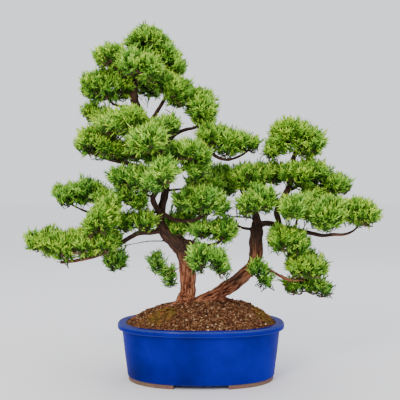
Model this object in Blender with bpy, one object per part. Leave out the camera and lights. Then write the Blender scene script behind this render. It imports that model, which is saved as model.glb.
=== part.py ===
"""A two-trunked juniper bonsai in an oval glazed pot.

All sizes below are in millimetres. The pot stands on z = 0 with its centre on the z axis, x runs along
its length and -y is its front. The tree is drawn from the soil's crown upwards, so it follows the pot.
"""
import math

import bmesh
import bpy
from mathutils import Vector

MM = 0.001

# The pot: a common 12 inch oval.
RIM_LENGTH = 305
RIM_DEPTH = 238
POT_HEIGHT = 103
PLAN_POWER = 2.3  # 2 is an ellipse, more is squarer at the corners
LIP_OVERHANG = 8
LIP_WIDTH = 16
LIP_HEIGHT = 11
LIP_ROUND = 3  # the lip's edges, and the cove under it
POT_TAPER = 10  # how far the wall leans in from under the lip to the base
WALL_BELLY = 0.56  # share of the taper made above half height; a half is a straight wall
BASE_ROUND = 3
FLOOR = 8
FOOT_HEIGHT = 7
FOOT_INSET = 2
FOOT_WIDTH = 14
NOTCH_LENGTH = 95  # the gap between the two feet, front and back
NOTCH_HEIGHT = 6

# The two drain holes, each under a square of plastic mesh that a bent wire holds down.
DRAIN_DIAMETER = 22
DRAIN_SPACING = 124
MESH_SIDE = 40
MESH_THICKNESS = 1.2
MESH_CELLS = 4
MESH_BAR = 2.4
WIRE_DIAMETER = 1.5
WIRE_BEND = 1.5
WIRE_BEND_OUT = 12  # how far each end is bent out under the pot

# The soil: it starts a little under the rim and rises to a crown round the trunks.
SOIL_BELOW_RIM = 3
MOUND_HEIGHT = 40
MOUND_POWER = 2.3
SOIL_RINGS = (0.92, 0.8, 0.65, 0.5, 0.35, 0.18)  # level lines of the mound, as shares of its edge

# The tree, as drawn in the lists below and as built.
DRAWN_HEIGHT = 502
DRAWN_SPREAD = 645
DRAWN_DEPTH = 370
TREE_HEIGHT = 502
TREE_SPREAD = 645
TREE_DEPTH = 370
WOOD_GIRTH = 1.0  # thickness of all wood against the radii below

# Clearances between pieces that touch.
GAP = 0.3
WOOD_GAP = 0.45
PAD_GAP = 3.0  # foliage pads stop this far from each other

# How finely the faceted solids are made.
POT_SIDES = 48
TRUNK_SIDES = 10
BRANCH_SIDES = 6
RING_STEP = 19
PAD_VOXEL = 7
PAD_DETAIL = 0.13

# Wood, root end first: x, y, height over the soil's crown, radius.
TRUNKS = {
    "left_trunk": [
        (-28, 0, -45, 22), (-28, 0, -10, 20), (-26, 0, 3, 16.5), (-24, 0, 23, 14), (-24, 0, 49, 14.5),
        (-26, 0, 71, 15), (-31, -2, 91, 15.5), (-42, -5, 106, 16), (-57, -5, 119, 14),
        (-70, -2, 132, 10), (-75, 2, 148, 8.5), (-73, 8, 167, 8), (-70, 10, 185, 7.5),
        (-65, 10, 207, 7.5), (-65, 6, 229, 7), (-70, 2, 255, 7), (-79, 0, 281, 7), (-88, 0, 304, 6.5),
        (-96, 0, 326, 6), (-107, 0, 343, 6.2), (-119, -2, 359, 8), (-123, -5, 375, 8),
        (-123, -5, 394, 6.5), (-116, -2, 420, 5), (-103, 0, 450, 3.8), (-96, 0, 472, 2.2),
    ],
    "right_trunk": [
        (-22, 5, -36, 15), (-6, 2, -8, 14), (9, 0, 3, 12.8), (24, 0, 9, 12.5), (42, 0, 21, 12.5),
        (62, 0, 33, 13), (83, 0, 51, 13), (96, 0, 67, 12), (101, 0, 86, 12.5), (101, 0, 108, 12.5),
        (103, 0, 128, 11.5), (103, 0, 146, 9), (99, -10, 161, 6.5), (93, -31, 172, 4.5),
        (96, -62, 180, 2.5),
    ],
}

# Each branch grows out of the limb named first.
BRANCHES = {
    "front_stem": ("left_trunk", [
        (-74, 5, 161, 5.5), (-82, -18, 174, 5.5), (-87, -25, 189, 5.2), (-79, -30, 203, 4.8),
        (-69, -42, 217, 4.2), (-64, -75, 227, 3.4), (-64, -119, 232, 2.2),
    ]),
    "right_fork": ("left_trunk", [
        (-96, 0, 325, 4.6), (-90, -2, 334, 4.2), (-81, -2, 348, 3.8), (-72, -2, 363, 3.6),
        (-64, 0, 378, 3.4), (-61, 5, 399, 3), (-59, 10, 418, 2.5), (-59, 14, 437, 1.8),
    ]),
    "crown_left_branch": ("left_trunk", [
        (-123, -5, 390, 3.4), (-138, -15, 408, 3), (-153, -25, 425, 2.4), (-171, -30, 438, 1.6),
    ]),
    "left_shoulder_branch": ("left_trunk", [
        (-117, -2, 357, 3.2), (-132, 0, 358, 2.8), (-147, 0, 358, 2.5), (-162, 0, 363, 2.2),
        (-176, 0, 376, 1.8), (-191, 0, 389, 1.4),
    ]),
    "upper_left_branch": ("left_trunk", [
        (-96, 0, 326, 3.4), (-108, -31, 320, 3), (-123, -60, 315, 2.6), (-149, -50, 314, 2.2),
        (-176, -6, 329, 1.8), (-201, 31, 347, 1.4),
    ]),
    "second_left_branch": ("left_trunk", [
        (-67, 8, 222, 5.2), (-90, -8, 238, 4.6), (-114, -18, 247, 4.2), (-141, -22, 254, 3.8),
        (-168, -25, 260, 3.4), (-191, -25, 268, 2.6), (-211, -25, 281, 1.6),
    ]),
    "right_shoulder_branch": ("left_trunk", [
        (-77, 0, 277, 4), (-60, -10, 293, 3.8), (-42, -8, 309, 3.5), (-26, -2, 316, 3.2),
        (-9, 0, 320, 2.6), (4, 0, 337, 1.8),
    ]),
    "right_pad_branch": ("left_trunk", [
        (-65, 8, 224, 5), (-42, -10, 238, 4.6), (-18, -20, 250, 4.2), (2, -22, 268, 3.8),
        (16, -20, 271, 3.5), (33, -18, 262, 3.2), (51, -18, 259, 2.8), (73, -18, 267, 2.3),
        (89, -15, 278, 1.6),
    ]),
    "lower_right_branch": ("left_trunk", [
        (-72, 8, 163, 4), (-53, -8, 152, 3.8), (-31, -28, 148, 3.4), (-9, -48, 151, 3),
        (9, -60, 162, 2.5), (26, -60, 173, 1.7),
    ]),
    "low_right_branch": ("left_trunk", [
        (-33, -2, 110, 5), (-11, -12, 106, 4.4), (11, -22, 103, 3.8), (29, -30, 108, 3),
        (45, -35, 121, 1.8),
    ]),
    "middle_left_branch": ("left_trunk", [
        (-74, 12, 166, 3.6), (-95, 15, 161, 3.2), (-114, 5, 155, 3), (-134, -5, 152, 2.8),
        (-161, 8, 155, 2.6), (-193, 25, 159, 2.4), (-222, 35, 166, 2.2), (-253, 38, 181, 1.5),
    ]),
    "lower_left_branch": ("left_trunk", [
        (-70, -2, 130, 5.6), (-91, -8, 127, 5.2), (-111, -15, 126, 4.8), (-129, -19, 118, 4.5),
        (-145, -20, 107, 4.3), (-165, -20, 95, 4), (-189, -18, 85, 3.7), (-213, -12, 78, 3.4),
        (-235, -10, 74, 3.2), (-258, -8, 71, 2.8),
    ]),
    "right_branch": ("right_trunk", [
        (105, 0, 137, 6), (119, 0, 143, 5.6), (134, -4, 141, 5.3), (150, -8, 136, 5),
        (166, -10, 132, 4.7), (184, -12, 129, 4.3), (203, -15, 125, 3.9), (222, -15, 121, 3.6),
        (242, -15, 123, 3.2), (262, -12, 123, 2.8), (279, -10, 130, 2.2), (292, -8, 143, 1.5),
    ]),
    "right_leader": ("right_branch", [
        (144, -6, 137, 5.6), (142, 0, 150, 5.6), (140, 2, 163, 5.9), (146, 5, 178, 6.3),
        (155, 8, 194, 6.3), (163, 10, 209, 5.7), (168, 10, 228, 5.1), (170, 8, 246, 4.9),
        (171, 4, 262, 4.8), (175, 0, 279, 3.5), (171, 0, 297, 2.2),
    ]),
    "right_leader_fork": ("right_leader", [
        (161, 10, 204, 3.8), (175, 15, 209, 3.4), (190, 20, 219, 3), (211, 25, 224, 2.5),
        (238, 28, 219, 1.6),
    ]),
    "right_inner_branch": ("right_trunk", [
        (101, -6, 159, 3.4), (90, 2, 178, 2.9), (79, 5, 194, 2.5), (72, 4, 209, 2.1),
        (79, 0, 227, 1.5),
    ]),
    "low_branch": ("right_trunk", [
        (103, 0, 73, 4), (114, -18, 65, 3.4), (128, -30, 57, 3.2), (143, -35, 49, 3),
        (162, -28, 41, 2.6), (185, -18, 40, 2.2), (207, -2, 33, 1.5),
    ]),
}

# Foliage pads, each a cloud of lobes: x, y, height over the soil's crown, half length, depth and height.
PADS = {
    "crown_foliage": [
        (-97, 0, 480, 31, 45, 22), (-117, -6, 472, 20, 36, 18), (-76, 10, 463, 22, 40, 20),
        (-58, 15, 445, 20, 38, 22), (-44, 10, 431, 14, 27, 16),
    ],
    "crown_left_foliage": [
        (-158, -31, 443, 25, 38, 21), (-182, -28, 442, 12, 22, 12), (-143, -35, 432, 18, 34, 18),
    ],
    "crown_lower_foliage": [
        (-118, -72, 423, 24, 34, 23), (-93, -65, 416, 24, 36, 23), (-75, -6, 404, 25, 38, 23),
        (-98, 65, 412, 40, 47, 26), (-132, 75, 422, 26, 40, 25),
    ],
    "left_shoulder_foliage": [
        (-193, 0, 394, 27, 45, 25), (-168, -6, 386, 22, 40, 18), (-170, 10, 414, 18, 34, 14),
        (-142, 6, 397, 24, 38, 24),
    ],
    "right_shoulder_foliage": [
        (-42, -6, 382, 23, 45, 27), (-20, 0, 371, 18, 36, 18), (4, 0, 348, 24, 47, 29),
        (7, 0, 372, 14, 29, 16),
    ],
    "upper_left_foliage": [
        (-125, -78, 322, 31, 40, 23), (-155, -58, 315, 26, 38, 16), (-177, 8, 336, 24, 38, 16),
        (-205, 32, 351, 18, 31, 16), (-172, -22, 324, 20, 38, 14),
    ],
    "second_left_foliage": [
        (-197, -22, 293, 27, 49, 23), (-172, -22, 281, 25, 47, 20), (-215, -22, 283, 12, 25, 11),
        (-149, -15, 274, 22, 38, 16),
    ],
    "centre_front_foliage": [
        (-85, -144, 285, 28, 40, 22), (-104, -138, 282, 17, 34, 17), (-74, -88, 309, 17, 34, 12),
        (-58, -50, 318, 23, 34, 14),
    ],
    "centre_back_foliage": [
        (-130, 98, 284, 31, 47, 21), (-93, 134, 282, 35, 52, 23), (-65, 95, 287, 21, 36, 17),
    ],
    "mid_left_foliage": [
        (-141, -35, 226, 23, 40, 19), (-108, -44, 221, 28, 43, 23), (-137, -25, 199, 18, 31, 16),
        (-114, -25, 185, 20, 34, 14),
    ],
    "trunk_front_foliage": [
        (-61, -140, 233, 23, 40, 20), (-75, -131, 215, 20, 38, 17),
    ],
    "inner_right_foliage": [
        (-26, -78, 270, 28, 43, 17), (-47, -78, 265, 16, 31, 14), (3, -69, 260, 16, 31, 16),
        (-7, -62, 238, 17, 34, 24),
    ],
    "right_pad_foliage": [
        (20, -15, 301, 27, 45, 22), (49, -15, 289, 29, 47, 23), (78, -15, 289, 18, 31, 16),
        (96, -15, 289, 12, 20, 11),
    ],
    "lower_right_foliage": [
        (3, -65, 185, 32, 45, 24), (-28, -60, 185, 23, 38, 19), (33, -56, 174, 17, 31, 17),
        (20, 6, 211, 20, 40, 18), (31, 62, 223, 36, 47, 30), (-6, 69, 212, 24, 43, 24),
        (52, 52, 212, 17, 31, 19), (-2, 75, 173, 25, 38, 25), (-29, 58, 147, 28, 38, 19),
        (-57, 48, 147, 15, 25, 15),
    ],
    "low_right_tier_foliage": [
        (41, -35, 130, 25, 38, 23), (4, -28, 133, 25, 36, 16),
    ],
    "low_front_tier_foliage": [
        (0, -110, 92, 22, 34, 17), (25, -105, 85, 20, 34, 17), (36, -102, 71, 14, 25, 12),
        (-7, -108, 72, 12, 22, 10),
    ],
    "middle_left_foliage": [
        (-217, 35, 200, 30, 45, 24), (-253, 35, 193, 22, 36, 18), (-268, 35, 200, 11, 20, 15),
        (-183, 25, 189, 22, 36, 18),
    ],
    "raised_left_foliage": [
        (-167, -72, 155, 23, 38, 28), (-189, -78, 140, 17, 31, 16), (-156, -62, 178, 16, 29, 16),
    ],
    "inner_left_foliage": [
        (-137, -10, 145, 18, 31, 16), (-102, -10, 147, 23, 34, 18),
    ],
    "lower_left_foliage": [
        (-174, -30, 111, 30, 49, 23), (-211, -15, 105, 27, 52, 25), (-246, -10, 101, 33, 52, 27),
        (-278, -8, 108, 22, 38, 25), (-305, -8, 110, 18, 29, 16), (-210, 65, 112, 30, 47, 21),
    ],
    "hanging_left_foliage": [
        (-160, 15, 74, 24, 29, 20),
    ],
    "pale_tuft_foliage": [
        (-87, 75, 65, 15, 20, 23), (-74, 75, 49, 13, 18, 15), (-62, 75, 36, 17, 20, 19),
    ],
    "right_crown_foliage": [
        (162, 0, 306, 35, 52, 27), (200, 10, 290, 29, 47, 29), (130, 0, 277, 16, 25, 14),
        (151, 0, 284, 20, 36, 16),
    ],
    "right_shoulder_pad_foliage": [
        (204, 25, 234, 37, 52, 24), (251, 28, 213, 30, 40, 20), (222, 42, 204, 30, 47, 20),
        (166, -16, 234, 25, 27, 19), (186, -6, 228, 22, 34, 19),
    ],
    "right_upper_left_foliage": [
        (81, 0, 227, 25, 43, 25), (114, 18, 233, 20, 36, 20), (144, 40, 236, 20, 36, 20),
    ],
    "right_inner_foliage": [
        (106, -75, 185, 26, 40, 23), (79, -68, 175, 17, 34, 17),
    ],
    "right_middle_foliage": [
        (155, -100, 171, 22, 36, 19), (181, -56, 174, 19, 36, 21), (201, -10, 174, 25, 45, 27),
    ],
    "right_front_tier_foliage": [
        (218, -69, 157, 33, 40, 24), (234, -56, 174, 23, 34, 16),
    ],
    "right_end_foliage": [
        (285, -8, 163, 31, 45, 25), (307, -8, 158, 18, 29, 20),
    ],
    "right_hanging_foliage": [
        (142, -62, 117, 24, 38, 23), (171, -52, 109, 19, 36, 25),
    ],
    "right_low_foliage": [
        (182, -52, 67, 32, 40, 18), (207, -52, 65, 18, 29, 14), (187, 10, 80, 29, 34, 13),
    ],
    "right_lowest_foliage": [
        (204, 0, 31, 27, 34, 13), (165, 0, 31, 16, 25, 11), (228, 0, 22, 13, 17, 9),
    ],
    "small_right_foliage": [
        (98, -60, 66, 16, 22, 14), (114, -60, 50, 14, 20, 16),
    ],
}

# Moss cushions: x, y, half length and half depth, as shares of the soil's own half length and depth.
MOSS = {
    "moss_front_left": (-0.53, -0.56, 0.265, 0.255),
    "moss_right": (0.82, -0.2, 0.16, 0.33),
}
MOSS_HALF_HEIGHT = 5

GLAZE = (0.004, 0.027, 0.30)
CLAY = (0.27, 0.15, 0.11)
MESH_PLASTIC = (0.02, 0.02, 0.02)
WIRE_METAL = (0.45, 0.28, 0.17)
SOIL_BROWN = (0.12, 0.055, 0.028)
MOSS_GREEN = (0.07, 0.09, 0.018)
BARK = (0.14, 0.06, 0.035)
FOLIAGE_GREEN = (0.09, 0.22, 0.02)


def clear_scene():
    for obj in list(bpy.data.objects):
        bpy.data.objects.remove(obj, do_unlink=True)


def material(name, colour, roughness, metallic=0.0):
    made = bpy.data.materials.new(name)
    made.use_nodes = True
    shader = made.node_tree.nodes["Principled BSDF"]
    shader.inputs["Base Color"].default_value = (*colour, 1.0)
    shader.inputs["Roughness"].default_value = roughness
    shader.inputs["Metallic"].default_value = metallic
    return made


def add_object(name, bm, finish):
    """Turns a bmesh drawn in millimetres into a named object in metres."""
    bmesh.ops.scale(bm, vec=(MM, MM, MM), verts=bm.verts)
    bmesh.ops.recalc_face_normals(bm, faces=bm.faces)
    mesh = bpy.data.meshes.new(name)
    bm.to_mesh(mesh)
    bm.free()
    if finish:
        mesh.materials.append(finish)
    obj = bpy.data.objects.new(name, mesh)
    bpy.context.scene.collection.objects.link(obj)
    return obj


def smooth(obj, degrees=40):
    obj.data.shade_smooth()
    obj.data.set_sharp_from_angle(angle=math.radians(degrees))


def as_cutter(obj):
    obj.hide_render = True
    obj.display_type = "WIRE"
    return obj


def cut(obj, cutter):
    boolean = obj.modifiers.new("cut_" + cutter.name, "BOOLEAN")
    boolean.operation = "DIFFERENCE"
    boolean.solver = "EXACT"
    boolean.object = cutter


def bridge(bm, rings):
    """Joins rings of as many points each into a closed skin with a flat cap at both ends."""
    loops = [[bm.verts.new(point) for point in ring] for ring in rings]
    sides = len(loops[0])
    for low, high in zip(loops, loops[1:]):
        for i in range(sides):
            j = (i + 1) % sides
            bm.faces.new((low[i], low[j], high[j], high[i]))
    bm.faces.new(list(reversed(loops[0])))
    bm.faces.new(loops[-1])


def box(name, low, high):
    bm = bmesh.new()
    bmesh.ops.create_cube(bm, size=1.0)
    for vert in bm.verts:
        for axis in range(3):
            vert.co[axis] = high[axis] if vert.co[axis] > 0 else low[axis]
    return add_object(name, bm, None)


def ball(bm, centre, halves, detail=2):
    """An ellipsoid with its half sizes along x, y and z."""
    made = bmesh.ops.create_icosphere(bm, subdivisions=detail, radius=1.0)["verts"]
    for vert in made:
        vert.co = Vector(centre) + Vector(c * h for c, h in zip(vert.co, halves))
    return made


# The pot.
def oval(inset, z):
    """One level ring of the pot's plan, at this distance inside the rim's edge."""
    ring = []
    for i in range(POT_SIDES):
        turn = 2 * math.pi * i / POT_SIDES
        x = math.copysign(abs(math.cos(turn)) ** (2 / PLAN_POWER), math.cos(turn))
        y = math.copysign(abs(math.sin(turn)) ** (2 / PLAN_POWER), math.sin(turn))
        ring.append(((RIM_LENGTH / 2 - inset) * x, (RIM_DEPTH / 2 - inset) * y, z))
    return ring


BASE_INSET = LIP_OVERHANG + POT_TAPER
FLOOR_TOP = FOOT_HEIGHT + FLOOR
INNER_TOP = POT_HEIGHT - LIP_ROUND
ARC = 1 - math.cos(math.radians(45))  # how far the middle of a rounded edge stands in from its corner
SOIL_EDGE = POT_HEIGHT - SOIL_BELOW_RIM
SOIL_CROWN = SOIL_EDGE + MOUND_HEIGHT


def inner_inset(z):
    """How far inside the rim's edge the pot's inner wall stands at this height."""
    share = (INNER_TOP - z) / (INNER_TOP - FLOOR_TOP)
    return LIP_WIDTH + POT_TAPER * share


def make_pot(finish):
    lip_foot = POT_HEIGHT - LIP_HEIGHT
    foot_outer = BASE_INSET + FOOT_INSET
    foot_inner = foot_outer + FOOT_WIDTH
    middle = (FOOT_HEIGHT + lip_foot) / 2
    rounded = LIP_ROUND * ARC
    profile = [
        (foot_inner, FOOT_HEIGHT),
        (foot_inner, 0),
        (foot_outer, 0),
        (foot_outer, FOOT_HEIGHT),
        (BASE_INSET + BASE_ROUND * ARC, FOOT_HEIGHT),
        (BASE_INSET, FOOT_HEIGHT + BASE_ROUND),
        (BASE_INSET - POT_TAPER * WALL_BELLY, middle),
        (LIP_OVERHANG, lip_foot - LIP_ROUND),
        (LIP_OVERHANG - rounded, lip_foot),
        (rounded, lip_foot + rounded),
        (0, lip_foot + LIP_ROUND),
        (0, POT_HEIGHT - LIP_ROUND),
        (rounded, POT_HEIGHT - rounded),
        (LIP_ROUND, POT_HEIGHT),
        (LIP_WIDTH - LIP_ROUND, POT_HEIGHT),
        (LIP_WIDTH - rounded, POT_HEIGHT - rounded),
        (LIP_WIDTH, INNER_TOP),
        (inner_inset(FLOOR_TOP), FLOOR_TOP),
    ]
    bm = bmesh.new()
    bridge(bm, [oval(inset, z) for inset, z in profile])
    pot = add_object("pot", bm, finish)
    reach = RIM_DEPTH / 2
    notch = box("feet_notch", (-NOTCH_LENGTH / 2, -reach, -FLOOR), (NOTCH_LENGTH / 2, reach, NOTCH_HEIGHT))
    cut(pot, as_cutter(notch))
    for side, x in drain_places():
        bm = bmesh.new()
        radius = DRAIN_DIAMETER / 2
        bmesh.ops.create_cone(bm, cap_ends=True, segments=20, radius1=radius, radius2=radius, depth=FLOOR * 4)
        bmesh.ops.translate(bm, verts=bm.verts, vec=(x, 0, FLOOR_TOP))
        cut(pot, as_cutter(add_object("drain_bore_" + side, bm, None)))
    smooth(pot)
    return pot


def drain_places():
    return (("left", -DRAIN_SPACING / 2), ("right", DRAIN_SPACING / 2))


# The drain mesh, and the wire that holds it over its hole.
MESH_TOP = FLOOR_TOP + GAP + MESH_THICKNESS
WIRE_TOP = MESH_TOP + GAP + WIRE_DIAMETER / 2
CELL = MESH_SIDE / MESH_CELLS


def make_drain_mesh(side, x, finish):
    bm = bmesh.new()
    bmesh.ops.create_grid(bm, x_segments=MESH_CELLS, y_segments=MESH_CELLS, size=MESH_SIDE / 2)
    cells = list(bm.faces)
    bmesh.ops.inset_individual(bm, faces=cells, thickness=MESH_BAR / 2)
    bmesh.ops.delete(bm, geom=cells, context="FACES")
    bars = bmesh.ops.extrude_face_region(bm, geom=list(bm.faces))["geom"]
    lifted = [part for part in bars if isinstance(part, bmesh.types.BMVert)]
    bmesh.ops.translate(bm, verts=lifted, vec=(0, 0, MESH_THICKNESS))
    bmesh.ops.translate(bm, verts=bm.verts, vec=(x, 0, FLOOR_TOP + GAP))
    return add_object("drain_mesh_" + side, bm, finish)


def make_wire(side, x, finish):
    leg = CELL / 2
    low = FOOT_HEIGHT - GAP - WIRE_DIAMETER / 2
    half = [(leg + WIRE_BEND_OUT, 0, low), (leg + WIRE_BEND, 0, low), (leg, 0, low + WIRE_BEND)]
    half += [(leg, 0, WIRE_TOP - WIRE_BEND), (leg - WIRE_BEND, 0, WIRE_TOP)]
    path = [(x + dx, dy + leg, z) for dx, dy, z in half]
    path += [(x - dx, dy + leg, z) for dx, dy, z in reversed(half)]
    rings = tube_rings([Vector(point) for point in path], [WIRE_DIAMETER / 2] * len(path), BRANCH_SIDES)
    bm = bmesh.new()
    bridge(bm, rings)
    return add_object("mesh_wire_" + side, bm, finish)


# Soil and moss.
SOIL_INSET = inner_inset(SOIL_EDGE) + GAP
SOIL_HALF_LENGTH = RIM_LENGTH / 2 - SOIL_INSET
SOIL_HALF_DEPTH = RIM_DEPTH / 2 - SOIL_INSET


def soil_height(x, y):
    across = abs(x / SOIL_HALF_LENGTH) ** PLAN_POWER
    along = abs(y / SOIL_HALF_DEPTH) ** PLAN_POWER
    out = min((across + along) ** (1 / PLAN_POWER), 1.0)
    return SOIL_EDGE + MOUND_HEIGHT * (1 - out ** MOUND_POWER)


def make_soil(finish):
    edge = oval(SOIL_INSET, SOIL_EDGE)
    rings = [oval(inner_inset(FLOOR_TOP) + GAP, FLOOR_TOP + GAP), edge]
    for share in SOIL_RINGS:
        inner = [(x * share, y * share) for x, y, _ in edge]
        rings.append([(x, y, soil_height(x, y)) for x, y in inner])
    bm = bmesh.new()
    bridge(bm, rings)
    soil = add_object("soil", bm, finish)
    for side, x in drain_places():
        half = MESH_SIDE / 2 + GAP * 2
        top = WIRE_TOP + WIRE_DIAMETER / 2 + GAP
        cut(soil, as_cutter(box("mesh_recess_" + side, (x - half, -half, FLOOR), (x + half, half, top))))
    smooth(soil, 60)
    return soil


def make_moss(name, place, grow, finish):
    """A low cushion, half sunk in the soil and tilted with its slope."""
    x, half_length = place[0] * SOIL_HALF_LENGTH, place[2] * SOIL_HALF_LENGTH
    y, half_depth = place[1] * SOIL_HALF_DEPTH, place[3] * SOIL_HALF_DEPTH
    slope_x = (soil_height(x + half_length, y) - soil_height(x - half_length, y)) / (2 * half_length)
    slope_y = (soil_height(x, y + half_depth) - soil_height(x, y - half_depth)) / (2 * half_depth)
    bm = bmesh.new()
    halves = (half_length + grow, half_depth + grow, MOSS_HALF_HEIGHT + grow)
    for vert in ball(bm, (0, 0, 0), halves):
        dx, dy, dz = vert.co
        vert.co = (x + dx, y + dy, soil_height(x, y) + dz + dx * slope_x + dy * slope_y)
    return add_object(name, bm, finish)


# Wood.
def placed(x, y, z):
    """A point of the drawn tree in the built one."""
    across = x * TREE_SPREAD / DRAWN_SPREAD
    back = y * TREE_DEPTH / DRAWN_DEPTH
    return Vector((across, back, SOIL_CROWN + z * TREE_HEIGHT / DRAWN_HEIGHT))


def rounded_path(drawn):
    """Centres and radii along a smooth curve through the drawn points."""
    points = [placed(x, y, z) for x, y, z, _ in drawn]
    radii = [radius * WOOD_GIRTH for _, _, _, radius in drawn]
    centres, widths = [points[0]], [radii[0]]
    last = len(points) - 1
    for i in range(last):
        before, start, end, after = points[max(i - 1, 0)], points[i], points[i + 1], points[min(i + 2, last)]
        steps = max(1, round((end - start).length / RING_STEP))
        for step in range(1, steps + 1):
            t = step / steps
            bend = (end - before) * t + (2 * before - 5 * start + 4 * end - after) * t * t
            bend += (3 * start - before - 3 * end + after) * t ** 3
            centres.append(start + bend / 2)
            widths.append(radii[i] + (radii[i + 1] - radii[i]) * t)
    return centres, widths


def tube_rings(centres, radii, sides, grow=0.0):
    """Rings square to the path, carried along it without twist."""
    rings = []
    across = Vector((0, 1, 0))
    last = len(centres) - 1
    for i, (centre, radius) in enumerate(zip(centres, radii)):
        forward = (centres[min(i + 1, last)] - centres[max(i - 1, 0)]).normalized()
        across = (across - forward * across.dot(forward)).normalized()
        upward = forward.cross(across)
        if i in (0, last):
            centre = centre + forward * (grow if i else -grow)
        turns = [2 * math.pi * k / sides for k in range(sides)]
        reach = radius + grow
        rings.append([centre + (across * math.cos(a) + upward * math.sin(a)) * reach for a in turns])
    return rings


def make_limb(name, drawn, sides, grow, finish):
    centres, radii = rounded_path(drawn)
    bm = bmesh.new()
    bridge(bm, tube_rings(centres, radii, sides, grow))
    limb = add_object(name, bm, finish)
    smooth(limb, 60)
    return limb


# Foliage.
def placed_lobes():
    """Every pad's lobes as centre and half sizes in the built tree."""
    scale = Vector((TREE_SPREAD / DRAWN_SPREAD, TREE_DEPTH / DRAWN_DEPTH, TREE_HEIGHT / DRAWN_HEIGHT))
    lobes = {}
    for name, drawn in PADS.items():
        lobes[name] = [(placed(x, y, z), Vector((a, b, c)) * scale) for x, y, z, a, b, c in drawn]
    return lobes


def fence(lobe, other):
    """The plane where one lobe stops short of another pad's, or None where they are well apart."""
    (centre, halves), (rival, rival_halves) = lobe, other
    apart = rival - centre
    mean = (halves + rival_halves) / 2
    normal = Vector(apart[k] / mean[k] ** 2 for k in range(3)).normalized()
    reach = Vector(normal[k] * halves[k] for k in range(3)).length
    rival_reach = Vector(normal[k] * rival_halves[k] for k in range(3)).length
    distance = apart.dot(normal)
    if distance >= reach + rival_reach + PAD_GAP:
        return None
    stop = distance * reach / (reach + rival_reach) - PAD_GAP / 2
    return centre + normal * stop, normal


def make_pad(name, lobes, finish):
    """One cloud of foliage: its lobes, each fenced off from the other pads, grown into one body."""
    bm = bmesh.new()
    for lobe in lobes[name]:
        part = bmesh.new()
        ball(part, *lobe)
        for rival_name, rivals in lobes.items():
            if rival_name == name:
                continue
            for plane in filter(None, (fence(lobe, rival) for rival in rivals)):
                trim(part, *plane)
        mesh = bpy.data.meshes.new("lobe")
        part.to_mesh(mesh)
        part.free()
        bm.from_mesh(mesh)
        bpy.data.meshes.remove(mesh)
    pad = add_object(name, bm, finish)
    merged = pad.modifiers.new("one_body", "REMESH")
    merged.mode = "VOXEL"
    merged.voxel_size = PAD_VOXEL * MM
    lighter = pad.modifiers.new("fewer_faces", "DECIMATE")
    lighter.ratio = PAD_DETAIL
    return pad


def trim(bm, point, normal):
    everything = bm.verts[:] + bm.edges[:] + bm.faces[:]
    sliced = bmesh.ops.bisect_plane(bm, geom=everything, plane_co=point, plane_no=normal, clear_outer=True)
    open_edges = [part for part in sliced["geom_cut"] if isinstance(part, bmesh.types.BMEdge)]
    if open_edges:
        bmesh.ops.holes_fill(bm, edges=open_edges)


def near(obj, other):
    """True where the boxes of two objects touch."""
    boxes = [[Vector(corner) for corner in thing.bound_box] for thing in (obj, other)]
    for axis in range(3):
        spans = [(min(c[axis] for c in corners), max(c[axis] for c in corners)) for corners in boxes]
        if spans[0][1] < spans[1][0] or spans[1][1] < spans[0][0]:
            return False
    return True


def build():
    clear_scene()
    glaze = material("glazed_stoneware", GLAZE, 0.15)
    plastic = material("drain_mesh_plastic", MESH_PLASTIC, 0.6)
    wire = material("aluminium_wire", WIRE_METAL, 0.4, 1.0)
    earth = material("soil", SOIL_BROWN, 0.95)
    cushion = material("moss", MOSS_GREEN, 0.95)
    bark = material("juniper_bark", BARK, 0.85)
    foliage = material("juniper_foliage", FOLIAGE_GREEN, 0.7)

    make_pot(glaze)
    for side, x in drain_places():
        make_drain_mesh(side, x, plastic)
        make_wire(side, x, wire)

    limbs = {}
    grown = {}
    for name, drawn in TRUNKS.items():
        limbs[name] = make_limb(name, drawn, TRUNK_SIDES, 0, bark)
        grown[name] = as_cutter(make_limb(name + "_clearance", drawn, TRUNK_SIDES, WOOD_GAP, None))
    for name, (_, drawn) in BRANCHES.items():
        limbs[name] = make_limb(name, drawn, BRANCH_SIDES, 0, bark)
        grown[name] = as_cutter(make_limb(name + "_clearance", drawn, BRANCH_SIDES, WOOD_GAP, None))
    cut(limbs["right_trunk"], grown["left_trunk"])
    for name, (parent, _) in BRANCHES.items():
        cut(limbs[name], grown[parent])

    soil = make_soil(earth)
    for name in TRUNKS:
        cut(soil, grown[name])
    for name, place in MOSS.items():
        make_moss(name, place, 0, cushion)
        cut(soil, as_cutter(make_moss(name + "_bed", place, GAP * 1.5, None)))

    lobes = placed_lobes()
    for name in PADS:
        pad = make_pad(name, lobes, foliage)
        for limb in grown.values():
            if near(pad, limb):
                cut(pad, limb)


build()
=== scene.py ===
import math

import bmesh
import bpy
import numpy as np
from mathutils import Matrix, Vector, kdtree, noise


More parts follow.
